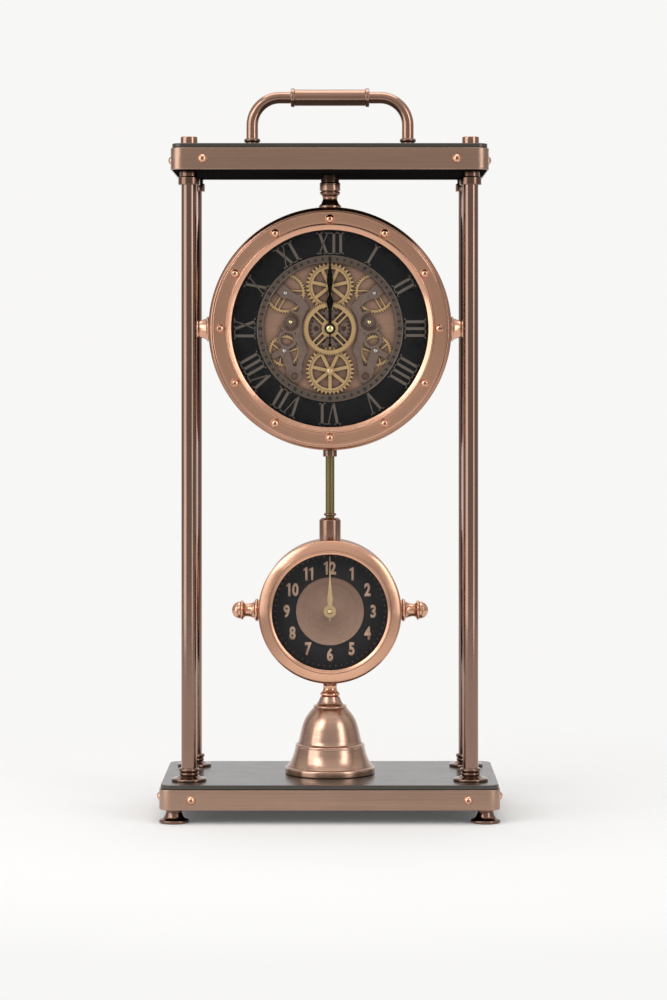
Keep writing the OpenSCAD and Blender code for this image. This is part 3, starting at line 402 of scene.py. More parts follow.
def make_finishes(tints):
    """All finishes, by the name that the pieces use."""
    FINISHES.update(
        rose=metal("rose_copper", tints.rose, 0.20, EVEN, 220.0, 0.03 * MM),
        rose_upright=metal("rose_copper_turned", tints.rose, 0.17, TURNED_Z, 1.0, 0.03 * MM),
        rose_side=metal("rose_copper_side", tints.rose, 0.18, TURNED_X, 1.0, 0.05 * MM),
        bell=metal("bell_copper", (0.56, 0.345, 0.25), 0.23, TURNED_Z, 1.0, 0.1 * MM, streak=1.3),
        stem=metal("stem_copper", (0.44, 0.25, 0.175), 0.22, TURNED_Z, 1.0, 0.05 * MM),
        ferrule=metal("ferrule_copper", (0.33, 0.184, 0.128), 0.20, TURNED_Z, 1.0, 0.03 * MM),
        band=metal("band_copper", tints.band, 0.34, BRUSHED_X, 1.0, 0.22 * MM, dark=0.5, streak=1.7),
        post=metal("post_copper", tints.post, 0.17, BRUSHED_Z, 1.0, 0.03 * MM),
        foot=metal("foot_copper", tints.post, 0.18, TURNED_Z, 1.0, 0.04 * MM),
        handle=metal("handle_copper", (0.42, 0.24, 0.168), 0.18, BRUSHED_X, 1.0, 0.05 * MM),
        case=metal(
            "case_copper", (0.58, 0.32, 0.222), 0.27, TURNED_Y, 1.0, 0.04 * MM, dark=0.36, coat=0.0,
            glance=(0.60, 0.52, 0.47),
        ),
        # Bezels and disc carry a painted sheen in sectors; on the small bezel it is strong, with painted
        # dark reflections
        bezel=ringed("bezel_copper", tints.rose, 0.13, MAIN_Z, FINE_RINGS, 0.2 * MM, painted_sheen=0.12),
        sub_bezel=ringed(
            "small_bezel_copper", tints.rose, 0.15, SUB_Z, FINE_RINGS, 0.06 * MM, dark=0.2,
            painted_sheen=0.42, lean=3.0,
        ),
        track=ringed("track_bronze", (0.19, 0.145, 0.115), 0.46, MAIN_Z, WIDE_RINGS, 0.03 * MM),
        disc=ringed(
            "disc_copper", (0.42, 0.265, 0.195), 0.26, SUB_Z, FINE_RINGS, 0.16 * MM, painted_sheen=0.12
        ),
        # Plate, wheel gold and bridge bronzes: cut is the reach of their painted shade near neighbouring
        # parts
        plate=metal(
            "plate_copper", (0.57, 0.35, 0.25), 0.40, DRAWN, 1.0, 0.04 * MM, cloud=45.0, cut=7 * MM
        ),
        gold=metal(
            "wheel_gold", tints.gold, 0.46, EVEN, 260.0, 0.04 * MM, dark=0.4, cloud=60.0, cut=3 * MM
        ),
        pale_gold=metal("hand_gold", (0.82, 0.59, 0.34), 0.34, EVEN, 260.0, 0.02 * MM, cloud=50.0),
        bronze=metal(
            "bridge_bronze", tints.bronze, 0.50, EVEN, 200.0, 0.05 * MM, dark=0.45, cloud=50.0,
            cut=4 * MM,
        ),
        # Painted shade: a darker copy of the bridge bronze, for the transfer wheel and side pinions
        dark_bronze=metal(
            "shadow_bronze", tints.bronze, 0.46, EVEN, 200.0, 0.05 * MM, dark=0.25, cloud=60.0,
            cut=4 * MM,
        ),
        roman=metal("numeral_bronze", (0.165, 0.135, 0.108), 0.48, EVEN, 300.0, 0.02 * MM, cloud=60.0),
        rod=metal("rod_brass", tints.rod, 0.26, DRAWN, 1.0, 0.04 * MM, dark=0.4, cloud=50.0),
        nut=metal("nut_brass", (0.88, 0.74, 0.38), 0.16, EVEN, 260.0, 0.01 * MM, cloud=60.0),
        steel=metal("plain_steel", (0.62, 0.61, 0.58), 0.30, EVEN, 260.0, 0.02 * MM, cloud=60.0),
        gloss=painted("dark_gloss", (0.046, 0.039, 0.032), 0.22, 1400.0, 0.01 * MM),
        board=painted("black_board", (0.009, 0.0082, 0.008), 0.7, 700.0, 0.05 * MM, gloss=0.0),
        dial=painted("dial_black", (0.0095, 0.0095, 0.0105), 0.55, 1600.0, 0.03 * MM, gloss=0.12),
        hand=painted("hand_black", (0.004, 0.004, 0.004), 0.45, 1200.0, 0.01 * MM, gloss=0.08),
        lid=painted("lid_black", (0.018, 0.017, 0.016), 0.42, 900.0, 0.05 * MM),
        plastic=painted("moulded_black", (0.016, 0.016, 0.017), 0.5, 1400.0, 0.04 * MM),
        figure=painted("figure_tan", (0.52, 0.345, 0.25), 0.46, 900.0, 0.01 * MM, mottle=0.12),
        mark=painted("mark_dark", (0.02, 0.018, 0.016), 0.5, 900.0, 0.01 * MM, gloss=0.15),
        dash=painted("mark_pale", (0.16, 0.125, 0.10), 0.5, 900.0, 0.01 * MM, mottle=0.15),
        glass=clear_glass("clear_glass"),
    )


# Surfaces


def soften(points, cut, steps=4, closed=False):
    """A profile with every corner turned into a curve that starts and ends cut away from it.

    Each corner P between its neighbours becomes the parabola (1-t)^2 A + 2t(1-t) P + t^2 B.
    """
    points = np.asarray(points, float)
    before = np.roll(points, 1, axis=0)
    after = np.roll(points, -1, axis=0)

    def toward(other):
        span = other - points
        gap = np.linalg.norm(span, axis=1, keepdims=True)
        return points + span / np.maximum(gap, 1e-12) * np.minimum(cut, 0.45 * gap)

    t = np.linspace(0.0, 1.0, steps + 1)[None, :, None]
    start, end = toward(before)[:, None], toward(after)[:, None]
    curve = (1 - t) ** 2 * start + 2 * t * (1 - t) * points[:, None] + t ** 2 * end
    if closed:
        return curve.reshape(-1, 2)
    return np.concatenate([points[:1], curve[1:-1].reshape(-1, 2), points[-1:]])


def arc(centre, radius, first, last, steps=10):
    """Points on a circle about centre from one angle to another, in degrees."""
    angle = np.radians(np.linspace(first, last, steps + 1))
    return np.stack([centre[0] + radius * np.cos(angle), centre[1] + radius * np.sin(angle)], axis=1)


def flare(start, end, bow, steps=14):
    """Points from start to end whose radius changes by a power of the way gone."""
    t = np.linspace(0.0, 1.0, steps + 1)
    return np.stack(
        [start[0] + (end[0] - start[0]) * t ** bow, start[1] + (end[1] - start[1]) * t], axis=1
    )


def bead(radius, bottom, top, steps=12):
    """A half-round bead that stands out to radius between two heights."""
    curve_r = (top - bottom) / 2
    return arc((radius - curve_r, bottom + curve_r), curve_r, -90, 90, steps)


def dome(radius, rise, base, steps=10):
    """The arc of a domed head of that radius and rise, standing on the base height, up to its axis."""
    big = (radius * radius + rise * rise) / (2 * rise)
    centre = base + rise - big
    return arc((0.0, centre), big, math.degrees(math.asin((base - centre) / big)), 90, steps)


def smooth(points, steps=6):
    """A curve through all the points.

    Between P1 and P2 it is the cubic whose slopes there are half of P2-P0 and half of P3-P1.
    """
    points = np.asarray(points, float)
    padded = np.concatenate([2 * points[:1] - points[1:2], points, 2 * points[-1:] - points[-2:-1]])
    before, start, end, after = (padded[i:len(padded) - 3 + i, None] for i in range(4))
    t = np.linspace(0.0, 1.0, steps, endpoint=False)[None, :, None]
    curve = 0.5 * (
        2 * start + (end - before) * t + (2 * before - 5 * start + 4 * end - after) * t ** 2
        + (3 * start - before - 3 * end + after) * t ** 3
    )
    return np.concatenate([curve.reshape(-1, 2), points[-1:]])


def profile(*stretches):
    """Points and curves strung together, from millimetres to metres."""
    return np.concatenate([np.asarray(stretch, float).reshape(-1, 2) for stretch in stretches]) * MM


def upright(x=0.0, y=0.0, z=0.0):
    """Turning about a vertical axis at x, y, with heights counted from z."""
    return lambda u, v, h: np.stack([x + u, y + v, z + h], axis=-1)


def facing(z):
    """Turning about a dial's axis at height z, with heights counted towards the front."""
    return lambda u, v, h: np.stack([u, -h, z + v], axis=-1)


def sideways(sign, z):
    """Turning about a level axis across the clock at height z, outwards to one side."""
    return lambda u, v, h: np.stack([sign * h, u, z + v], axis=-1)


def spun(outline, place, turns, closed=False):
    """A profile of radius and height carried round an axis: point (r cos a, r sin a, h)."""
    outline = np.asarray(outline, float)
    angle = np.linspace(0.0, 2 * math.pi, turns, endpoint=False)[None, :]
    radius, height = outline[:, :1], outline[:, 1:]
    points = place(radius * np.cos(angle), radius * np.sin(angle), height + 0.0 * angle)
    return grid(points.reshape(-1, 3), len(outline), turns, closed, True)


def grid(points, rows, columns, close_rows, close_columns):
    """Quads over a grid of points, joined end to end where a direction is closed."""
    row = np.arange(rows if close_rows else rows - 1)[:, None]
    column = np.arange(columns if close_columns else columns - 1)[None, :]
    next_row, next_column = (row + 1) % rows, (column + 1) % columns
    quads = np.stack(
        [row * columns + column, row * columns + next_column, next_row * columns + next_column,
         next_row * columns + column], axis=-1,
    )
    return points, quads.reshape(-1, 4)


def gather(shapes):
    """Several shapes as one, with the face numbers moved on."""
    points, faces, shift = [], [], 0
    for some_points, some_faces in shapes:
        points.append(some_points)
        faces.append(some_faces + shift)
        shift += len(some_points)
    return np.concatenate(points), np.concatenate(faces)


def swept_tube(path, radius, turns):
    """A tube round a path in the x-z plane: path + r (cos a n + sin a y), n square to the path."""
    along = np.gradient(path, axis=0)
    along /= np.linalg.norm(along, axis=1, keepdims=True)
    normal = np.stack([along[:, 1], -along[:, 0]], axis=1)
    angle = np.linspace(0.0, 2 * math.pi, turns, endpoint=False)
    across = radius * np.cos(angle)[None, :, None] * normal[:, None]
    points = np.stack(
        [path[:, None, 0] + across[..., 0], np.broadcast_to(radius * np.sin(angle), across.shape[:2]),
         path[:, None, 1] + across[..., 1]], axis=-1,
    )
    return grid(points.reshape(-1, 3), len(path), turns, False, True)


def hoop(width, depth, corner, outline, closed, steps=14, runs=24):
    """An outline of offset and height carried round a rounded rectangle.

    The offset goes along the outward normal. Returns the shape and its points in one round.
    """
    centres = np.array([(1, 1), (-1, 1), (-1, -1), (1, -1)]) * (width / 2 - corner, depth / 2 - corner)
    angle = np.radians(np.arange(4)[:, None] * 90 + np.linspace(0, 90, steps + 1)[None, :])
    normal = np.stack([np.cos(angle), np.sin(angle)], axis=-1).reshape(-1, 2)
    base = np.repeat(centres, steps + 1, axis=0)
    ends = np.arange(4) * (steps + 1) + steps
    share = np.linspace(0, 1, runs + 1)[1:-1][None, :, None]
    run = base[ends][:, None] * (1 - share) + base[(ends + 1) % len(base)][:, None] * share
    run_normal = np.broadcast_to(normal[ends][:, None], run.shape)
    base = np.concatenate([base.reshape(4, -1, 2), run], axis=1).reshape(-1, 2)
    normal = np.concatenate([normal.reshape(4, -1, 2), run_normal], axis=1).reshape(-1, 2)
    outline = np.asarray(outline, float)
    flat = base[None] + (corner + outline[:, None, :1]) * normal[None]
    points = np.concatenate([flat, np.broadcast_to(outline[:, None, 1:], (*flat.shape[:2], 1))], axis=-1)
    return grid(points.reshape(-1, 3), len(outline), len(base), closed, True), len(base)


def both_sides(outline, z, turns, closed=False):
    """A profile turned about a level axis at height z, once to the left and once to the right."""
    return gather([spun(outline, sideways(sign, z), turns, closed) for sign in (-1, 1)])


def screw_ring(head, circle, angles, centre_z, level, out, turns):
    """Heads on a circle round a dial's axis, at angles in degrees from the top.

    They stand on a level in front of the clock's middle and point forwards (1) or backwards (-1).
    """

    def seat(turn):
        x, z = circle * math.sin(turn), centre_z + circle * math.cos(turn)
        return lambda u, v, h: np.stack([x + u, -(level + out * h), z + v], axis=-1)

    return gather([spun(head, seat(turn), turns) for turn in np.radians(angles)])


def prisms(corners, base, top, place):
    """Flat four-cornered marks raised from base to top: corners is an array of n marks by 4 points."""
    corners = np.asarray(corners, float)
    count = len(corners)
    level = np.broadcast_to(np.array([base, top])[None, :, None], (count, 2, 4))
    u = np.broadcast_to(corners[:, None, :, 0], level.shape)
    v = np.broadcast_to(corners[:, None, :, 1], level.shape)
    points = place(u, v, level).reshape(-1, 3)
    sides = np.array([[0, 1, 5, 4], [1, 2, 6, 5], [2, 3, 7, 6], [3, 0, 4, 7], [4, 5, 6, 7], [3, 2, 1, 0]])
    faces = (np.arange(count)[:, None, None] * 8 + sides[None]).reshape(-1, 4)
    return points, faces


def relief_of(mesh):
    """How far each point stands out from its neighbours: the mean of normal times the way from them."""
    count = len(mesh.vertices)
    points, normals = np.empty(count * 3), np.empty(count * 3)
    mesh.vertices.foreach_get("co", points)
    mesh.vertices.foreach_get("normal", normals)
    points, normals = points.reshape(-1, 3), normals.reshape(-1, 3)
    ends = np.empty(len(mesh.edges) * 2, dtype=np.int32)
    mesh.edges.foreach_get("vertices", ends)
    one, two = ends.reshape(-1, 2).T
    way = points[one] - points[two]
    way /= np.maximum(np.linalg.norm(way, axis=1, keepdims=True), 1e-12)
    total = np.bincount(one, np.sum(normals[one] * way, axis=1), count)
    total -= np.bincount(two, np.sum(normals[two] * way, axis=1), count)
    return total / np.maximum(np.bincount(ends, minlength=count), 1)


def piece(
    name, shape, finish, nodes=(), body=None, crease=38.0, caps=(), flat=False, bevel=0.0
):
    """Puts a shape into the scene as one piece that rides on a body and stands for the given nodes.

    Edges sharper than crease degrees stay sharp. A flat piece keeps no relief and may have a bevel.
    """
    points, faces = shape
    mesh = bpy.data.meshes.new(name)
    mesh.from_pydata(points.tolist(), [], faces.tolist() + [list(cap) for cap in caps])
    work = bmesh.new()
    work.from_mesh(mesh)
    bmesh.ops.remove_doubles(work, verts=work.verts, dist=2e-7)
    bmesh.ops.dissolve_degenerate(work, edges=work.edges, dist=1e-7)
    if flat:
        angle = math.radians(0.6)
        bmesh.ops.dissolve_limit(work, angle_limit=angle, verts=work.verts, edges=work.edges)
    bmesh.ops.recalc_face_normals(work, faces=work.faces)
    work.to_mesh(mesh)
    work.free()
    if not mesh.polygons:
        raise RuntimeError(f"{name} has no faces")
    mesh.shade_smooth()
    mesh.set_sharp_from_angle(angle=math.radians(crease))
    stands = mesh.attributes.new("relief", "FLOAT", "POINT")
    stands.data.foreach_set("value", (relief_of(mesh) * (not flat)).astype(np.float32))
    made = bpy.data.objects.new(name, mesh)
    bpy.context.scene.collection.objects.link(made)
    mesh.materials.append(FINISHES[finish])
    if bevel:
        edge = made.modifiers.new("edge", "BEVEL")
        edge.width = bevel
        edge.segments = 2
        edge.limit_method = "ANGLE"
        edge.angle_limit = math.radians(32)
        edge.harden_normals = False
    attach(made, body or BODY_OF[nodes[0]])
    if nodes:
        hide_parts(*nodes)
    return made


def triangles_of(mesh):
    """A mesh's points, and its triangles as the numbers of their corners."""
    points = np.empty(len(mesh.vertices) * 3)
    mesh.vertices.foreach_get("co", points)
    mesh.calc_loop_triangles()
    corners = np.empty(len(mesh.loop_triangles) * 3, dtype=np.int32)
    mesh.loop_triangles.foreach_get("vertices", corners)
    return points.reshape(-1, 3), corners.reshape(-1, 3)


def cut_piece(node, finish, bevel):
    """A copy of a cut node, merged and with its edges broken."""
    solid = triangles_of(frame["nodes"][node].data)
    piece(node + "_cut", solid, finish, (node,), crease=32.0, flat=True, bevel=bevel)


def trim_piece(name, shape, finish, node):
    """A piece that adds to a node, on the node's body."""
    piece(name, shape, finish, body=BODY_OF[node])


def dress(node, finish):
    """Gives a CAD node that stays in sight its finish."""
    slots = frame["nodes"][node].data.materials
    slots.clear()
    slots.append(FINISHES[finish])


def sizes():
    """The clock's size settings."""
    return bpy.context.scene.clock_sizes


# Operators


class ClockOperator:
    """What every operator of the clock shares."""

    bl_options = {"REGISTER", "UNDO"}


class CLOCK_OT_boards(ClockOperator, bpy.types.Operator):
    """Bands and dark plates: a rounded outline carried round each board"""

    bl_idname = "clock.boards"
    bl_label = "Boards and bands"

    def execute(self, context):
        wall, corner, edge = 1.6 * MM, 13.0 * MM, 0.7 * MM
        plate_corner, plate_edge, margin = corner - 1.5 * MM, 1.1 * MM, 6 * MM
        for part in ("base", "top"):
            width, depth, bottom, top = extent(part + "_band")
            outline = soften([(0, bottom), (0, top), (-wall, top), (-wall, bottom)], edge, 5, True)
            shape, _ = hoop(width, depth, corner, outline, True)
            piece(part + "_band_hoop", shape, "band", (part + "_band",))
            width, depth, bottom, top = extent(part + "_plate")
            outline = soften(
                [(-margin, bottom), (0, bottom), (0, top), (-margin, top)], plate_edge, 6
            )
            shape, count = hoop(width, depth, plate_corner, outline, False)
            rows = len(outline)
            caps = [range(count), range((rows - 1) * count, rows * count)]
            piece(part + "_plate_gloss", shape, "gloss", (part + "_plate",), caps=caps)
            dress(part + "_board", "board")
        return {"FINISHED"}


class CLOCK_OT_posts(ClockOperator, bpy.types.Operator):
    """Post tubes, flanges, collars, cap nuts and feet, each a turned profile"""

    bl_idname = "clock.posts"
    bl_label = "Posts and feet"

    def execute(self, context):
        few = sizes().small_turns
        bottom, top = FLOOR_TOP / MM, TOP_UNDER / MM
        radius = POST_R / MM
        bore = radius - 1.4
        tube = profile([(bore, bottom), (radius, bottom), (radius, top), (bore, top)])
        for node, sx, sy in (
            ("post_front_left", -1, -1), ("post_front_right", 1, -1),
            ("post_rear_left", -1, 1), ("post_rear_right", 1, 1),
        ):
            shape = spun(tube, upright(sx * POST_X, sy * POST_Y), few, True)
            piece(node + "_tube", shape, "post", (node,))
        places = [(sx * POST_X, sy * POST_Y) for sx, sy in CORNERS]
        inner = radius + FIT
        rim = float(high("post_flanges")[0] - POST_X) / MM
        flange = profile(
            [(inner, 0)], soften([(rim - 2.0, 0), (rim, 0), (rim, 2.3), (rim - 1.0, 2.8)], 0.7),
            flare((rim - 1.2, 2.9), (radius + 2.1, 5.2), 0.45),
            bead(radius + 2.2, 5.4, 9.0), bead(radius + 2.9, 9.2, 13.0), [(inner, 13.0)],
        )
        wide, slim, step, rise = radius + 3.2, radius + 1.5, 8.2, 14.4
        collar = profile(
            [(inner, 0)],
            soften(
                [(radius + 1.0, 0), (wide, 0), (wide, step), (slim, step), (slim, rise), (inner, rise)],
                0.9, 6,
            ),
        )
        crown, cap_h = float(high("post_caps")[0] - POST_X) / MM, 8.2
        cap = profile(soften([(0, 0), (crown, 0), (crown, cap_h), (0, cap_h)], 1.1, 6))
        for name, outline, level, finish in (
            ("post_flanges", flange, FLOOR_TOP, "foot"),
            ("post_collars", collar, low("post_collars")[2], "foot"),
            ("post_caps", cap, ROOF, "handle"),
        ):
            closed = name != "post_caps"
            shape = gather([spun(outline, upright(x, y, level), few, closed) for x, y in places])
            piece(name + "_turned", shape, finish, (name,))
        foot_top, foot_r = low("base_band")[2] / MM, 15.4
        foot = profile(
            soften([(0, 0), (13.8, 0), (foot_r, 0.6), (foot_r, 3.0), (14.2, 3.8), (13.2, 4.0)], 0.7),
            flare((13.0, 4.2), (8.1, foot_top - 3.0), 0.42),
            soften([(8.2, foot_top - 2.6), (8.7, foot_top - 2.2), (8.7, foot_top), (0, foot_top)], 0.4),
        )
        span = high("feet") - foot_r * MM
        feet = gather([spun(foot, upright(sx * span[0], sy * span[1]), few) for sx, sy in CORNERS])
        piece("feet_turned", feet, "foot", ("feet",))
        dress("tie_rods", "steel")
        return {"FINISHED"}


class CLOCK_OT_handle(ClockOperator, bpy.types.Operator):
    """Carrying handle: a bent tube with a grip sleeve, end rings and leg flanges"""

    bl_idname = "clock.handle"
    bl_label = "Handle"

    def execute(self, context):
        few = sizes().small_turns
        radius, bend = half("handle_bail", 1) * MM, 29.0 * MM
        axis_z = middle("handle_grip")[2]
        leg = high("handle_bail")[0] - radius
        inner = leg - bend
        turn = np.radians(np.linspace(0, 90, 25))
        right = np.stack([inner + bend * np.cos(turn), axis_z - bend + bend * np.sin(turn)], axis=1)
        left = right[::-1] * (-1, 1)
        flat = np.stack([np.linspace(inner, -inner, 21)[1:-1], np.full(19, axis_z)], axis=1)
        foot = [(leg, ROOF - 10 * MM), (leg, ROOF + 8 * MM)]
        path = np.concatenate([foot, right, flat, left, [(-x, z) for x, z in foot[::-1]]])
        piece("handle_bail_tube", swept_tube(path, radius, few), "handle", ("handle_bail",))
        reach, grip, ringed_to = half("handle_grip"), half("handle_grip", 1), half("handle_rings", 1)
        bore = radius / MM + FIT
        sleeve = profile(
            soften([(bore, -reach), (grip, -reach), (grip, reach), (bore, reach)], 0.5, closed=True)
        )
        ring_half, ring_flat = 2.25, 1.7
        at = reach + ring_half
        ring = profile(
            [(bore, at - ring_half)],
            soften(
                [(grip, at - ring_half), (ringed_to, at - ring_flat), (ringed_to, at + ring_flat),
                 (grip, at + ring_half)], 0.6,
            ),
            [(bore, at + ring_half)],
        )
        shape = spun(sleeve, sideways(1, axis_z), few, True)
        piece("handle_grip_sleeve", shape, "handle", ("handle_grip",))
        rings = both_sides(ring, axis_z, few, True)
        piece("handle_rings_turned", rings, "handle", ("handle_rings",))
        rim, rise = bore + 3.55, 11.0
        flange = profile(
            [(bore, 0)],
            soften([(bore + 2.9, 0), (rim, 0), (rim, 1.6), (bore + 3.1, 2.0)], 0.4),
            flare((bore + 2.9, 2.1), (bore + 0.85, 6.3), 0.45),
            bead(bore + 2.45, 6.5, rise),
            [(bore, rise)],
        )
        legs = gather([spun(flange, upright(sign * leg, 0, ROOF), few, True) for sign in (-1, 1)])
        piece("handle_flanges_turned", legs, "foot", ("handle_flanges",))
        return {"FINISHED"}


def domed_screw(radius, rise, recess):
    """Profile of a domed head with a round socket sunk in its top."""
    crown = dome(radius, rise, 0.0)
    crown = crown[crown[:, 0] > recess]
    top = crown[-1, 1]
    return profile(
        [(0, -2.0), (1.6, -2.0), (1.6, 0), (radius - 0.25, 0)], crown,
        [(recess, top - 0.1), (recess * 0.92, top - 0.9), (0, top - 0.9)],
    )


class CLOCK_OT_screws(ClockOperator, bpy.types.Operator):
    """Domed screws on the bands and the bezel"""

    bl_idname = "clock.screws"
    bl_label = "Screws"

    def execute(self, context):
        few, edge = 40, 33.0 * MM
        head = domed_screw(4.75, 3.75, 1.5)
        shapes = []
        for part in ("base", "top"):
            z = middle(part + "_band")[2]
            span = high(part + "_band")
            for sx, sy in CORNERS:
                x, y = sx * (span[0] - edge), sy * (span[1] - edge)

                def end_on(u, v, h, x=x, out=sy, rim=span[1], z=z):
                    return np.stack([x + u, out * (rim + h), z + v], axis=-1)

                def side_on(u, v, h, y=y, out=sx, rim=span[0], z=z):
                    return np.stack([out * (rim + h), y + u, z + v], axis=-1)

                shapes += [spun(head, end_on, few), spun(head, side_on, few)]
        piece("band_screws_domed", gather(shapes), "rose", ("band_screws",))
        head_r = 4.7
        land, circle = MAIN_FRONT + 5 * MM, high("bezel_screws")[0] - head_r * MM
        head = domed_screw(head_r, 3.2, 1.4)
        shape = screw_ring(head, circle, np.arange(12) * 30.0, MAIN_Z, land, 1, few)
        piece("bezel_screws_domed", shape, "rose", ("bezel_screws",))
        return {"FINISHED"}


class CLOCK_OT_main_case(ClockOperator, bpy.types.Operator):
    """Main case, bezel, lens, stem, side cones, lid and set knob"""

    bl_idname = "clock.main_case"
    bl_label = "Main case"

    def execute(self, context):
        turns, few = sizes().turns, sizes().small_turns
        front, back, outer = MAIN_FRONT / MM, MAIN_BACK / MM, MAIN_R / MM
        rim, opening = half("main_bezel"), half("main_lens") - 2.6
        seat, wall = opening + 3.7, outer - 3
        ridge = float(high("bezel_screws")[0]) / MM - 10.2
        edge_w, edge_h = 4.9, 8.0
        case = profile(
            soften(
                [(wall, back), (outer - 0.4, back), (outer, back + 1.0), (outer, front - 8.5)], 0.7, 4
            ),
            arc((0, 0), 1.0, 0, 90, 14) * (edge_w, edge_h) + (outer - edge_w, front - edge_h),
            [(opening + 1.6, front), (opening + 1.6, front - 5), (wall, front - 5)],
        )
        piece("main_case_drum", spun(case, facing(MAIN_Z), turns, True), "case", ("main_case",))
        land = front + 5.0
        bezel = profile(
            [(seat, front), (rim - 1.5, front)],
            soften([(rim - 0.4, front), (rim, front + 0.4), (rim, land), (rim - 2.4, land)], 1.1, 6),
            soften(
                [(ridge + 1.4, land), (ridge + 0.4, land), (ridge, front + 6.5),
                 (ridge - 0.9, front + 7.0), (ridge - 1.6, front + 6.9)], 0.45, 4,
            ),
            flare((ridge - 1.9, front + 6.75), (opening + 0.3, front + 4.3), 1.12, 8),
            [(opening, front + 3.9), (opening, front + LENS_SEAT), (seat, front + LENS_SEAT)],
        )
        piece("main_bezel_ring", spun(bezel, facing(MAIN_Z), turns, True), "bezel", ("main_bezel",))
        add_lens("main", MAIN_Z, front, turns)
        self.stem(few)
        tip = float(high("side_cones")[0]) / MM
        base, foot_r, tip_r = outer - 1.4, 13.3, 8.7
        cone = profile(
            [(0, base), (12.5, base)],
            soften([(foot_r, base), (foot_r, outer + 1.2), (12.8, outer + 1.6)], 0.4),
            flare((12.7, outer + 1.7), (tip_r, tip - 3.0), 0.5),
            soften([(tip_r, tip - 2.8), (tip_r, tip), (0, tip)], 1.1, 5),
        )
        piece("side_cones_turned", both_sides(cone, MAIN_Z, few), "rose_side", ("side_cones",))
        add_lid("main", MAIN_Z, back, outer - 3.05, turns, 6)
        add_set_knob("main", MAIN_Z)
        return {"FINISHED"}

    def stem(self, few):
        """The turned stem between the case and the top board."""
        bottom, top = (MAIN_Z + MAIN_R) / MM, TOP_UNDER / MM
        rise, foot = top - bottom, bottom - 1.2

        def level(share):
            return bottom + share * rise

        foot_r, waist_r, neck_r, barrel_r = 11.8, 7.7, 9.5, 10.9
        outline = profile(
            [(0, foot)],
            soften([(11.0, foot), (foot_r, foot), (foot_r, level(0.066)), (11.2, level(0.074))], 0.5),
            flare((11.1, level(0.08)), (waist_r, level(0.25)), 0.55),
            flare((waist_r, level(0.27)), (9.2, level(0.385)), 2.0, 8),
            bead(10.8, level(0.392), level(0.484)),
            soften(
                [(neck_r, level(0.49)), (neck_r, level(0.505)), (barrel_r, level(0.515)),
                 (barrel_r, level(0.74)), (neck_r, level(0.756)), (neck_r, top), (0, top)], 0.5,
            ),
        )
        piece("hanger_stem_turned", spun(outline, upright(), few), "stem", ("hanger_stem",))


def add_lens(which, centre, front, turns):
    """The flat clear lens of a clock, 2 mm thick, on the front of its case."""
    rim, top = half(which + "_lens"), front + 2
    lens = profile([(0, front), (rim, front), (rim, top), (0, top)])
    piece(which + "_lens_clear", spun(lens, facing(centre), turns), "glass", (which + "_lens",))


def add_lid(which, centre, back, rim, turns, screws):
    """The back lid of a case, with its dished panel and small screws."""
    dish, bead_in = back + 1.0, rim * 0.55
    lid = profile(
        soften(
            [(0, dish), (10.5, dish), (11.0, back + 0.5), (13.0, back + 0.5), (13.5, dish),
             (bead_in, dish), (bead_in + 0.6, back + 1.6), (bead_in + 2.4, back + 1.6),
             (bead_in + 3.0, dish), (rim - 12.0, dish), (rim - 11.0, back), (rim - 0.6, back),
             (rim, back + 0.6), (rim, back + 6), (0, back + 6)], 0.35,
        )
    )
    cover = which + "_back_cover"
    piece(which + "_back_lid", spun(lid, facing(centre), turns), "lid", (cover,))
    angles = np.arange(screws) * 360.0 / screws + 30.0
    head = domed_screw(2.6, 1.1, 0.9)
    heads = screw_ring(head, (rim - 5.6) * MM, angles, centre, back * MM, -1, 24)
    piece(which + "_lid_screws", heads, "steel", body=BODY_OF[cover])


def add_set_knob(which, centre):
    """The fluted set knob behind a lid: a turned outline whose rim is waved by a cosine of the angle."""
    knob = which + "_set_knob"
    face = -high(knob)[1] / MM
    flutes, columns, wave = 20, 160, 0.06
    angle = np.linspace(0.0, 2 * math.pi, columns, endpoint=False)[None, :]
    outline = soften(
        [(0, face), (5.2, face), (5.6, face + 0.4), (6.6, face + 0.4), (7.8, face + 1.2),
         (8.0, face + 5.2), (7.4, face + 6.0), (0, face + 6.0)], 0.35,
    )
    radius, height = outline[:, :1], outline[:, 1:]
    at_rim = np.clip((radius - 6.2) / 1.4, 0, 1)
    radius = radius * (1.0 - wave * at_rim * (0.5 + 0.5 * np.cos(flutes * angle))) * MM
    points = facing(centre)(radius * np.cos(angle), radius * np.sin(angle), height * MM + 0 * angle)
    shape = grid(points.reshape(-1, 3), len(outline), columns, False, True)
    piece(knob + "_fluted", shape, "plastic", (knob,))


def roman_strokes(text):
    """Four-cornered strokes of a Roman numeral of height 1, and its width.

    I is one thick stem, V a thick and a thin slope, X a thick and a thin one that cross.
    Each end has a serif.
    """
    thick, thin, serif, lip = 0.15, 0.055, 0.055, 0.10
    strokes, x = [], 0.0

    def slope(foot, head, width):
        strokes.append([(foot, 0), (foot + width, 0), (head + width, 1), (head, 1)])

    def cap(left, right, at_top):
        y = 1 - serif if at_top else 0
        left, right = left - lip, right + lip
        strokes.append([(left, y), (right, y), (right, y + serif), (left, y + serif)])

    for letter in text:
        if letter == "I":
            slope(x + lip, x + lip, thick)
            cap(x + lip, x + lip + thick, True)
            cap(x + lip, x + lip + thick, False)
            x += thick + 2 * lip + 0.02
        elif letter == "V":
            slope(x + 0.34, x + lip, thick)
            slope(x + 0.40, x + 0.66, thin)
            cap(x + lip, x + lip + thick, True)
            cap(x + 0.66, x + 0.66 + thin, True)
            x += 0.66 + thin + lip + 0.02
        else:
            slope(x + 0.52, x + lip, thick)
            slope(x + lip + 0.05, x + 0.60, thin)
            for left, wide, at_top in (
                (lip, thick, True), (0.52, thick, False), (0.60, thin, True), (lip + 0.05, thin, False)
            ):
                cap(x + left, x + left + wide, at_top)
            x += 0.52 + thick + lip + 0.02
    return np.array(strokes, float), x - 0.02


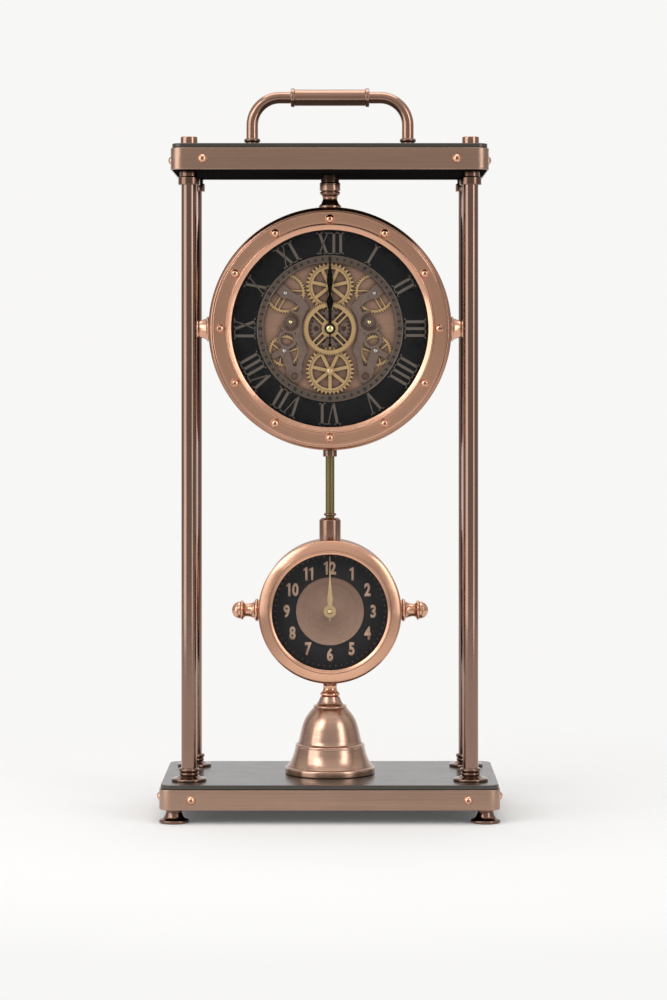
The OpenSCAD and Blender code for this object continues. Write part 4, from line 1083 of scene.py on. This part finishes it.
def turned_marks(strokes, radius, turn):
    """Marks moved out to a circle and turned clockwise, their tops outwards."""
    x, y = strokes[..., 0], strokes[..., 1] + radius
    return np.stack(
        [x * math.cos(turn) + y * math.sin(turn), -x * math.sin(turn) + y * math.cos(turn)], axis=-1
    )


def ticks(count, inner, outer, width, skip=0):
    """Radial bars of one width between two radii, with every skip-th left out."""
    bar = np.array([(-width / 2, inner), (width / 2, inner), (width / 2, outer), (-width / 2, outer)])
    kept = [i for i in range(count) if not skip or i % skip]
    return np.concatenate([turned_marks(bar[None], 0.0, 2 * math.pi * i / count) for i in kept])


class CLOCK_OT_main_dial(ClockOperator, bpy.types.Operator):
    """Chapter ring with its hour numerals, minute track with its marks, and the wheel plate"""

    bl_idname = "clock.main_dial"
    bl_label = "Main dial"

    def execute(self, context):
        size = sizes()
        turns = size.turns
        front, back = -low("chapter_ring")[1] / MM, -high("chapter_ring")[1] / MM
        outer, inner = (high("chapter_ring") - low("chapter_ring"))[0] / 2 / MM, 76.25
        under, flange = front - 2.5, outer - 10
        ring = profile(
            soften(
                [(inner, under), (flange, under), (flange, back), (outer, back), (outer, front),
                 (inner, front)], 0.15, 3, True,
            )
        )
        piece("chapter_ring_black", spun(ring, facing(MAIN_Z), turns, True), "dial", ("chapter_ring",))
        marks = []
        numerals = "XII I II III IIII V VI VII VIII IX X XI".split()
        narrow = 0.86
        for hour, text in enumerate(numerals):
            strokes, width = roman_strokes(text)
            strokes = (strokes - (width / 2, 0.5)) * (size.roman_height * narrow, size.roman_height)
            marks.append(turned_marks(strokes, size.roman_radius, math.radians(hour * 30)))
        face, sunk = front * MM, 0.05 * MM
        shape = prisms(np.concatenate(marks), face - sunk, face + 2 * size.relief, facing(MAIN_Z))
        piece("hour_numerals", shape, "roman", body="frame")
        top, groove, foot = -low("minute_track")[1] / MM, 0.25, front - 4.0
        track = profile(
            soften(
                [(68.6, under), (71.2, under), (71.2, foot), (80.2, foot), (80.2, under), (76.2, under),
                 (76.2, top), (75.3, top), (75.0, top - groove), (69.9, top - groove), (69.6, top),
                 (68.9, top), (68.6, top - 0.3)], 0.18, 3, True,
            )
        )
        piece("minute_track_ring", spun(track, facing(MAIN_Z), turns, True), "track", ("minute_track",))
        floor = (top - groove) * MM
        bars = np.concatenate([
            ticks(60, 71.0 * MM, 73.9 * MM, 2.5 * MM, 5), ticks(12, 70.4 * MM, 74.5 * MM, 3.6 * MM)
        ])
        shape = prisms(bars, floor - sunk, floor + size.relief, facing(MAIN_Z))
        piece("minute_marks", shape, "mark", body="frame")
        dress("gear_plate", "plate")
        return {"FINISHED"}


class CLOCK_OT_wheelwork(ClockOperator, bpy.types.Operator):
    """Wheels, pinions and bridges of the open movement, with their cut edges broken"""

    bl_idname = "clock.wheelwork"
    bl_label = "Open wheelwork"

    def execute(self, context):
        edge = sizes().cut_edge
        for node in ("centre_gear", "top_gear", "bottom_gear", "upper_wheels", "lower_wheels"):
            cut_piece(node, "gold", edge)
        for node in ("bridge_left", "bridge_right"):
            cut_piece(node, "bronze", 1.6 * edge)
        # The transfer wheel and side pinions take the darker bronze of painted shade
        cut_piece("transfer_gear", "dark_bronze", edge)
        cut_piece("side_pinions", "dark_bronze", edge)
        cut_piece("bridge_screws", "steel", 0.5 * edge)
        few = sizes().small_turns
        boss_r, head_r = 4.25, 2.75
        heads = []
        for node in ("top_gear", "bottom_gear"):
            hub, turning = -low(node)[1] / MM, facing(middle(node)[2])
            back, front = hub - 0.2, hub + 0.3
            boss = profile(soften([(0, back), (boss_r, back), (boss_r, front), (0, front)], 0.15))
            trim_piece(node + "_boss", spun(boss, turning, few), "gold", node)
            head = profile([(0, hub + 0.35), (head_r, hub + 0.35)], dome(head_r, 0.8, hub + 0.9))
            heads.append(spun(head, turning, few))
        trim_piece("arbor_heads", gather(heads), "pale_gold", "gear_plate")
        crown, cap_r = -low("side_pinions")[1] / MM, 2.7
        cap = profile([(0, crown - 2.0), (cap_r, crown - 2.0)], dome(cap_r, 1.9, crown - 1.6))
        points, faces = spun(cap, facing(middle("side_pinions")[2]), few)
        across = (half("side_pinions") - 6.6) * MM
        caps = gather([(points + (sign * across, 0, 0), faces) for sign in (-1, 1)])
        trim_piece("pinion_caps", caps, "nut", "side_pinions")
        return {"FINISHED"}


class CLOCK_OT_main_hands(ClockOperator, bpy.types.Operator):
    """Black hour and minute hands and the bright nut that holds them"""

    bl_idname = "clock.main_hands"
    bl_label = "Main hands"

    def execute(self, context):
        size = sizes()
        cut_piece("hour_hand", "hand", size.cut_edge)
        cut_piece("minute_hand", "hand", size.cut_edge)
        back, foot_r = -high("hand_nut")[1] / MM, 3.2
        nut = profile(
            soften([(0, back), (foot_r, back), (foot_r, back + 0.4), (3.8, back + 0.5)], 0.15),
            dome(3.9, 1.6, back + 0.5),
        )
        shape = spun(nut, facing(MAIN_Z), size.small_turns)
        piece("hand_nut_turned", shape, "nut", ("hand_nut",))
        dress("main_movement", "plastic")
        return {"FINISHED"}


class CLOCK_OT_link(ClockOperator, bpy.types.Operator):
    """Link rod with its bead and collar, and the ferrule on the small case"""

    bl_idname = "clock.link"
    bl_label = "Link rod"

    def execute(self, context):
        few = sizes().small_turns
        bottom, top = low("link_rod")[2] / MM, high("link_rod")[2] / MM
        seat, peak = low("rod_ferrule")[2] / MM, high("rod_ferrule")[2] / MM
        rod_r, bead_r, collar_r = 4.65, 6.6, 7.3
        bead_z, collar_z = peak + 2.1, (MAIN_Z - MAIN_R) / MM - 7.0
        bead_top, collar_top = bead_z + 2.8, collar_z + 7.2
        rod = profile(
            [(0, bottom), (rod_r, bottom), (rod_r, bead_z)],
            bead(bead_r, bead_z, bead_top),
            [(rod_r, bead_top), (rod_r, collar_z)],
            soften(
                [(6.0, collar_z), (collar_r, collar_z), (collar_r, collar_top), (rod_r, collar_top)], 0.5
            ),
            [(rod_r, top), (0, top)],
        )
        piece("link_rod_turned", spun(rod, upright(), few), "rod", ("link_rod",))
        self.dark_skin(few, rod_r + FIT, (bead_r, bead_z, bead_top), (collar_r, collar_z, collar_top))
        wide, bore, slope = half("rod_ferrule"), 4.7, 2.4
        ferrule = profile(
            soften(
                [(bore, seat), (wide, seat), (wide, peak - slope), (wide - slope, peak), (bore, peak)],
                0.6, 5, True,
            )
        )
        shape = spun(ferrule, upright(), few, True)
        piece("rod_ferrule_turned", shape, "ferrule", ("rod_ferrule",))
        return {"FINISHED"}

    def dark_skin(self, few, bore, ring, collar):
        """The brown copper over the rod's bead and collar, each a radius, a bottom and a top."""
        skin = 0.05
        radius, bottom, top = ring[0] + skin, ring[1] - skin, ring[2] + skin
        ring = profile([(bore, bottom)], bead(radius, bottom, top), [(bore, top)])
        radius, bottom, top = collar[0] + skin, collar[1] - skin, collar[2] + skin
        collar = profile(
            soften([(bore, bottom), (radius, bottom), (radius, top), (bore, top)], 0.5, closed=True)
        )
        shape = gather([spun(outline, upright(), few, True) for outline in (ring, collar)])
        trim_piece("rod_trim", shape, "foot", "link_rod")


class CLOCK_OT_small_clock(ClockOperator, bpy.types.Operator):
    """Small case with its round bezel, lens, side knobs, lid and set knob"""

    bl_idname = "clock.small_clock"
    bl_label = "Small clock"

    def execute(self, context):
        turns, few = sizes().turns, sizes().small_turns
        front, back, outer = SUB_FRONT / MM, SUB_BACK / MM, SUB_R / MM
        rim, opening = half("sub_bezel"), half("sub_lens") - 3.4
        seat, lip, wall = opening + 3.7, opening + 1.2, outer - 2.5
        case = profile(
            soften(
                [(wall, back), (outer - 0.4, back), (outer, back + 0.8), (outer, front), (lip, front),
                 (lip, front - 7), (wall, front - 7)], 0.6, 5, True,
            )
        )
        piece("sub_case_drum", spun(case, facing(SUB_Z), turns, True), "case", ("sub_case",))
        edge_r = 2.0
        edge = arc((rim - edge_r, front + 3.2), edge_r, 0, 65, 8)
        bezel = profile(
            [(seat, front), (outer - 0.6, front)],
            soften([(outer, front), (rim, front + 1.4), edge[0]], 0.6),
            edge,
            flare(edge[-1] + (-0.1, 0.05), (opening + 4.2, front + 8.6), 1.25, 14),
            soften(
                [(opening + 3.9, front + 8.5), (opening + 3.5, front + 9.0),
                 (opening + 2.8, front + 9.0), (opening + 2.3, front + 8.5),
                 (opening + 0.5, front + 7.7), (opening, front + 7.2),
                 (opening, front + LENS_SEAT), (seat, front + LENS_SEAT)], 0.3, 4,
            ),
        )
        piece("sub_bezel_ring", spun(bezel, facing(SUB_Z), turns, True), "sub_bezel", ("sub_bezel",))
        add_lens("sub", SUB_Z, front, turns)
        reach = float(high("sub_knobs")[0]) / MM - outer

        def out(share):
            return outer + share * reach

        base, foot_r, neck_r = outer - 1.6, 10.5, 6.7
        knob = profile(
            [(0, base), (10.0, base)],
            soften([(foot_r, base), (foot_r, out(0.06)), (9.7, out(0.064))], 0.3),
            bead(12.1, out(0.065), out(0.175)),
            flare((10.2, out(0.18)), (neck_r, out(0.44)), 0.45, 14),
            flare((neck_r, out(0.47)), (8.6, out(0.575)), 2.2, 8),
            bead(10.4, out(0.58), out(0.684)),
            [(8.4, out(0.69))],
            dome(9.2, 0.3 * reach, out(0.7), 14),
        )
        piece("sub_knobs_turned", both_sides(knob, SUB_Z, few), "rose_side", ("sub_knobs",))
        add_lid("sub", SUB_Z, back, outer - 2.55, turns, 4)
        add_set_knob("sub", SUB_Z)
        dress("sub_movement", "plastic")
        return {"FINISHED"}


def figure_of(sign, weight):
    """The points and triangles of one upright figure of height 1, with its left foot at the origin.

    The 1 is a bar with a slanting flag; the others are cut from a flat curve.
    """
    if sign == "1":
        points = np.array([(0.2, 0), (0.42, 0), (0.42, 1), (0.27, 1), (0, 0.84), (0, 0.7), (0.2, 0.79)])
        return points, np.array([(0, 1, 6), (1, 2, 6), (2, 3, 6), (3, 4, 6), (4, 5, 6)])
    curve = bpy.data.curves.new("figure", "FONT")
    curve.body = sign
    curve.offset = weight
    curve.resolution_u = 6
    holder = bpy.data.objects.new("figure", curve)
    bpy.context.scene.collection.objects.link(holder)
    points, faces = triangles_of(holder.to_mesh())
    holder.to_mesh_clear()
    bpy.data.objects.remove(holder)
    bpy.data.curves.remove(curve)
    points = points[:, :2]
    foot = points.min(axis=0)
    return (points - foot) / (points.max(axis=0) - foot)[1], faces


def figures(text, height, squeeze, weight, gap=0.13):
    """The figures of a number side by side with a gap between them, centred."""
    shapes, reach = [], 0.0
    for sign in text:
        points, faces = figure_of(sign, weight)
        shapes.append((points * (squeeze, 1.0) + (reach, 0.0), faces))
        reach += points[:, 0].max() * squeeze + gap
    points, faces = gather(shapes)
    return (points - ((reach - gap) / 2, 0.5)) * height, faces


class CLOCK_OT_small_dial(ClockOperator, bpy.types.Operator):
    """Black dial with its figures and minute dashes, the brushed disc and the gold hands"""

    bl_idname = "clock.small_dial"
    bl_label = "Small dial"

    def execute(self, context):
        size = sizes()
        turns, bore = size.turns, 4.05
        face = -low("sub_dial")[1]
        front, back = face / MM, face / MM - 2
        outer = (high("sub_dial") - low("sub_dial"))[0] / 2 / MM
        dial = profile([(bore, back), (outer, back), (outer, front), (bore, front)])
        piece("sub_dial_black", spun(dial, facing(SUB_Z), turns, True), "dial", ("sub_dial",))
        disc_front, wide = -low("sub_dial_disc")[1] / MM, half("sub_dial_disc")
        disc = profile(
            soften([(bore, front), (wide, front), (wide, disc_front), (bore, disc_front)], 0.2, 3, True)
        )
        shape = spun(disc, facing(SUB_Z), turns, True)
        piece("sub_dial_disc_brushed", shape, "disc", ("sub_dial_disc",))
        shapes = []
        for hour in range(1, 13):
            points, faces = figures(str(hour), size.figure_height, squeeze=0.74, weight=0.04)
            turn = math.radians(hour * 30)
            points = points + size.figure_radius * np.array([math.sin(turn), math.cos(turn)])
            level = np.full(len(points), face + size.relief)
            shapes.append((facing(SUB_Z)(points[:, 0], points[:, 1], level), faces))
        figure = piece("dial_figures", gather(shapes), "figure", body="frame")
        thick = figure.modifiers.new("print", "SOLIDIFY")
        thick.thickness = size.relief
        thick.offset = 0.0
        bars = ticks(60, 56.3 * MM, 57.9 * MM, 0.55 * MM)
        dashes = prisms(bars, face - 0.02 * MM, face + 0.6 * size.relief, facing(SUB_Z))
        piece("dial_dashes", dashes, "dash", body="frame")
        cut_piece("sub_hour_hand", "pale_gold", size.cut_edge)
        cut_piece("sub_minute_hand", "pale_gold", size.cut_edge)
        base, cap_r = -low("sub_minute_hand")[1] / MM - 2.5, 3.1
        cap = profile([(0, base), (cap_r, base)], dome(cap_r, 2.6, base, 14))
        shape = spun(cap, facing(SUB_Z), size.small_turns)
        trim_piece("sub_hand_cap", shape, "nut", "sub_minute_hand")
        return {"FINISHED"}


class CLOCK_OT_bell(ClockOperator, bpy.types.Operator):
    """Bell-shaped foot and turned neck under the small clock"""

    bl_idname = "clock.bell"
    bl_label = "Bell foot"

    def execute(self, context):
        turns, few = sizes().turns, sizes().small_turns
        rise, wide = 2 * half("pedestal_bell", 2), half("pedestal_bell")
        scale = (wide, rise)
        skirt = [(0.949, 0.1), (0.88, 0.158), (0.822, 0.232), (0.79, 0.3), (0.772, 0.345)]
        bead_line = [(0.772, 0.352), (0.772, 0.378), (0.735, 0.39), (0.716, 0.4)]
        crown = [
            (0.712, 0.405), (0.692, 0.44), (0.672, 0.494), (0.646, 0.559), (0.616, 0.625),
            (0.574, 0.69), (0.512, 0.755), (0.425, 0.821), (0.366, 0.858),
        ]
        ring, inside, bore = 0.372 * wide, wide - 6.0, 4.05
        bell = profile(
            [(inside, 0)],
            soften(
                [(wide - 1.4, 0), (wide, 0.6), (wide, 0.072 * rise), (wide - 0.5, 0.088 * rise),
                 (wide - 1.8, 0.095 * rise)], 0.7,
            ),
            smooth(np.array(skirt) * scale),
            soften(np.array(bead_line) * scale, 0.9),
            smooth(np.array(crown) * scale),
            soften(
                [(ring - 0.3, 0.862 * rise), (ring, 0.866 * rise), (ring, 0.884 * rise),
                 (ring - 1.8, 0.891 * rise)], 0.5,
            ),
            flare((ring - 2.0, 0.893 * rise), (10.1, rise), 0.55),
            [(bore, rise), (bore, rise * 0.8), (inside, 6.0)],
        )
        shape = spun(bell, upright(z=FLOOR_TOP), turns, True)
        piece("pedestal_bell_spun", shape, "bell", ("pedestal_bell",))
        base, top = FLOOR_TOP / MM + rise, (SUB_Z - SUB_R) / MM

        def level(share):
            return base + share * (top - base)

        waist_r, flare_r, seat = 7.2, 11.4, top + 0.4
        neck = profile(
            [(0, base), (9.4, base)],
            bead(10.4, level(0.02), level(0.29)),
            soften(
                [(8.3, level(0.31)), (7.4, level(0.42)), (waist_r, level(0.5)), (waist_r, level(0.58))],
                0.5,
            ),
            flare((waist_r, level(0.6)), (11.0, level(0.93)), 2.2),
            soften([(flare_r, level(0.94)), (flare_r, seat), (0, seat)], 0.3),
        )
        shape = spun(neck, upright(), few)
        piece("pedestal_neck_turned", shape, "rose_upright", ("pedestal_neck",))
        return {"FINISHED"}


def area_light(name, place, target, size, power):
    """A soft oblong lamp at a place, facing a target and hidden from the camera."""
    lamp = bpy.data.lights.new(name, "AREA")
    lamp.shape = "RECTANGLE"
    lamp.size, lamp.size_y = size
    lamp.energy = power
    holder = bpy.data.objects.new(name, lamp)
    x, y, z = np.array(target, float) - np.array(place, float)
    holder.location = place
    holder.rotation_euler = (math.atan2(math.hypot(x, y), -z), 0.0, math.atan2(-x, y))
    holder.visible_camera = False
    bpy.context.scene.collection.objects.link(holder)


# Each lamp's name, place, target and width and height in metres, and its power in watts
LAMPS = (
    ("key", (-1.9, -2.2, 2.3), (0, 0, 0.4), (1.3, 1.6), 18.0),
    ("fill", (2.1, -2.0, 1.5), (0, 0, 0.4), (1.0, 1.8), 7.0),
    ("over", (0.0, 0.2, 2.6), (0, 0.1, 0.0), (2.2, 1.6), 22.0),
    ("left_box", (-1.72, -1.02, 0.6), (0, 0, 0.45), (1.5, 2.2), 19.5),
    ("right_box", (1.52, -1.30, 0.6), (0, 0, 0.45), (0.6, 2.2), 8.6),
)


class CLOCK_OT_stage(ClockOperator, bpy.types.Operator):
    """Pale floor that curves up into a backdrop, soft lamps, sky and the camera"""

    bl_idname = "clock.stage"
    bl_label = "Stage"

    def execute(self, context):
        scene = bpy.context.scene
        self.backdrop(scene)
        self.sky(scene)
        for lamp in LAMPS:
            area_light(*lamp)
        scene.view_settings.view_transform = "Standard"
        self.camera(scene)
        return {"FINISHED"}

    def backdrop(self, scene):
        """A line of floor, quarter round and wall, carried across from left to right."""
        reach, bend_y, bend_r, wall_h, columns = 6.0, 2.2, 1.0, 5.0, 25
        bend = arc((bend_y, bend_r), bend_r, -90, 0, 24)
        line = np.concatenate([[(-reach, 0.0)], bend, [(bend_y + bend_r, wall_h)]])
        x, y, z = np.broadcast_arrays(np.linspace(-reach, reach, columns), line[:, :1], line[:, 1:])
        points = np.stack([x, y, z], axis=-1).reshape(-1, 3)
        points, faces = grid(points, len(line), columns, False, False)
        mesh = bpy.data.meshes.new("backdrop")
        mesh.from_pydata(points.tolist(), [], faces[:, ::-1].tolist())
        mesh.shade_smooth()
        mesh.materials.append(self.paper())
        backdrop = bpy.data.objects.new("backdrop", mesh)
        scene.collection.objects.link(backdrop)

    def paper(self):
        """Pale paper, dusky far out to the front and the sides, that glows where it is looked at.

        Round the clock it hardly glows, so that it keeps the clock's shadow.
        """
        made = Finish("paper", Roughness=0.9, Specular_IOR_Level=0.1)
        cloud = made.noise(3.0, 2.0)
        x, y, z = made.axes(made.place())
        front = y.math("MINIMUM", y, 0.0)
        dusk_from, dusk_over = 1.2, 2.0
        dusk = (((x * x + front * front) ** 0.5 - dusk_from) / dusk_over).unit()
        pale = made.mix(cloud, (0.86, 0.858, 0.852, 1.0), (0.84, 0.838, 0.832, 1.0))
        made.set(Base_Color=made.mix(dusk, pale, (0.40, 0.40, 0.396, 1.0)))
        light = made.mix(dusk, (0.935, 0.93, 0.92, 1.0), (0.47, 0.467, 0.46, 1.0))
        glow = made.node("Emission", sockets={"Color": light})
        camera, glossy, through = (
            made.node("LightPath", out=f"Is {ray} Ray") for ray in ("Camera", "Glossy", "Transmission")
        )
        shown = (camera + glossy + through).unit()
        shadow_r, fade, least = 0.28, 0.5, 0.08
        away = (((x * x + y * y + z * z) ** 0.5 - shadow_r) / fade).unit()
        share = shown * (least + away * (1.0 - least))
        return made.done(made.node("MixShader", sockets={0: share, 1: made.shader, 2: glow}))

    def sky(self, scene):
        """A soft studio all round, brighter overhead than at eye level."""
        world = bpy.data.worlds.new("studio")
        scene.world = world
        world.use_nodes = True
        made = Recipe(world.node_tree)
        _, _, z = made.axes(made.node("TexCoord", out="Generated"))
        level = 0.42 + (z * 1.2 - 0.1).unit() * 0.45
        warm = (1.0, 0.99, 0.975, 1.0)
        light = made.node("Background", sockets={"Color": warm, "Strength": level})
        made.node("OutputWorld", sockets={"Surface": light})

    def camera(self, scene):
        """A long lens, held level, whose picture is shifted to the photograph's frame."""
        lens = bpy.data.cameras.new("camera")
        lens.sensor_fit = "VERTICAL"
        lens.sensor_height = 36.0
        lens.lens = 103.04
        lens.shift_x = -0.008
        lens.shift_y = -0.13
        camera = bpy.data.objects.new("camera", lens)
        camera.location = (0.012, -2.993, 0.4608)
        camera.rotation_euler = (math.radians(90), 0, 0)
        scene.collection.objects.link(camera)
        scene.camera = camera


OPERATORS = (
    CLOCK_OT_boards, CLOCK_OT_posts, CLOCK_OT_handle, CLOCK_OT_screws, CLOCK_OT_main_case,
    CLOCK_OT_main_dial, CLOCK_OT_wheelwork, CLOCK_OT_main_hands, CLOCK_OT_link, CLOCK_OT_small_clock,
    CLOCK_OT_small_dial, CLOCK_OT_bell, CLOCK_OT_stage,
)


class CLOCK_PT_panel(bpy.types.Panel):
    """The clock's sizes, colours and making steps"""

    bl_idname = "CLOCK_PT_panel"
    bl_label = "Copper floor clock"
    bl_space_type = "VIEW_3D"
    bl_region_type = "UI"
    bl_category = "Clock"

    def draw(self, context):
        for group in (context.scene.clock_sizes, context.scene.clock_colours):
            column = self.layout.column()
            for name in group.__annotations__:
                column.prop(group, name)
        for operator in OPERATORS:
            self.layout.operator(operator.bl_idname)


CLASSES = (ClockSizes, ClockColours, *OPERATORS, CLOCK_PT_panel)


def register():
    """Adds the classes and the scene's settings."""
    for some_class in CLASSES:
        bpy.utils.register_class(some_class)
    bpy.types.Scene.clock_sizes = PointerProperty(type=ClockSizes)
    bpy.types.Scene.clock_colours = PointerProperty(type=ClockColours)


def unregister():
    """Takes them away again."""
    del bpy.types.Scene.clock_sizes
    del bpy.types.Scene.clock_colours
    for some_class in reversed(CLASSES):
        bpy.utils.unregister_class(some_class)


def main():
    """Registers the clock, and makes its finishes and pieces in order."""
    register()
    make_finishes(bpy.context.scene.clock_colours)
    for operator in OPERATORS:
        step = operator.bl_idname.split(".")[1]
        getattr(bpy.ops.clock, step)()


if __name__ == "__main__":
    main()
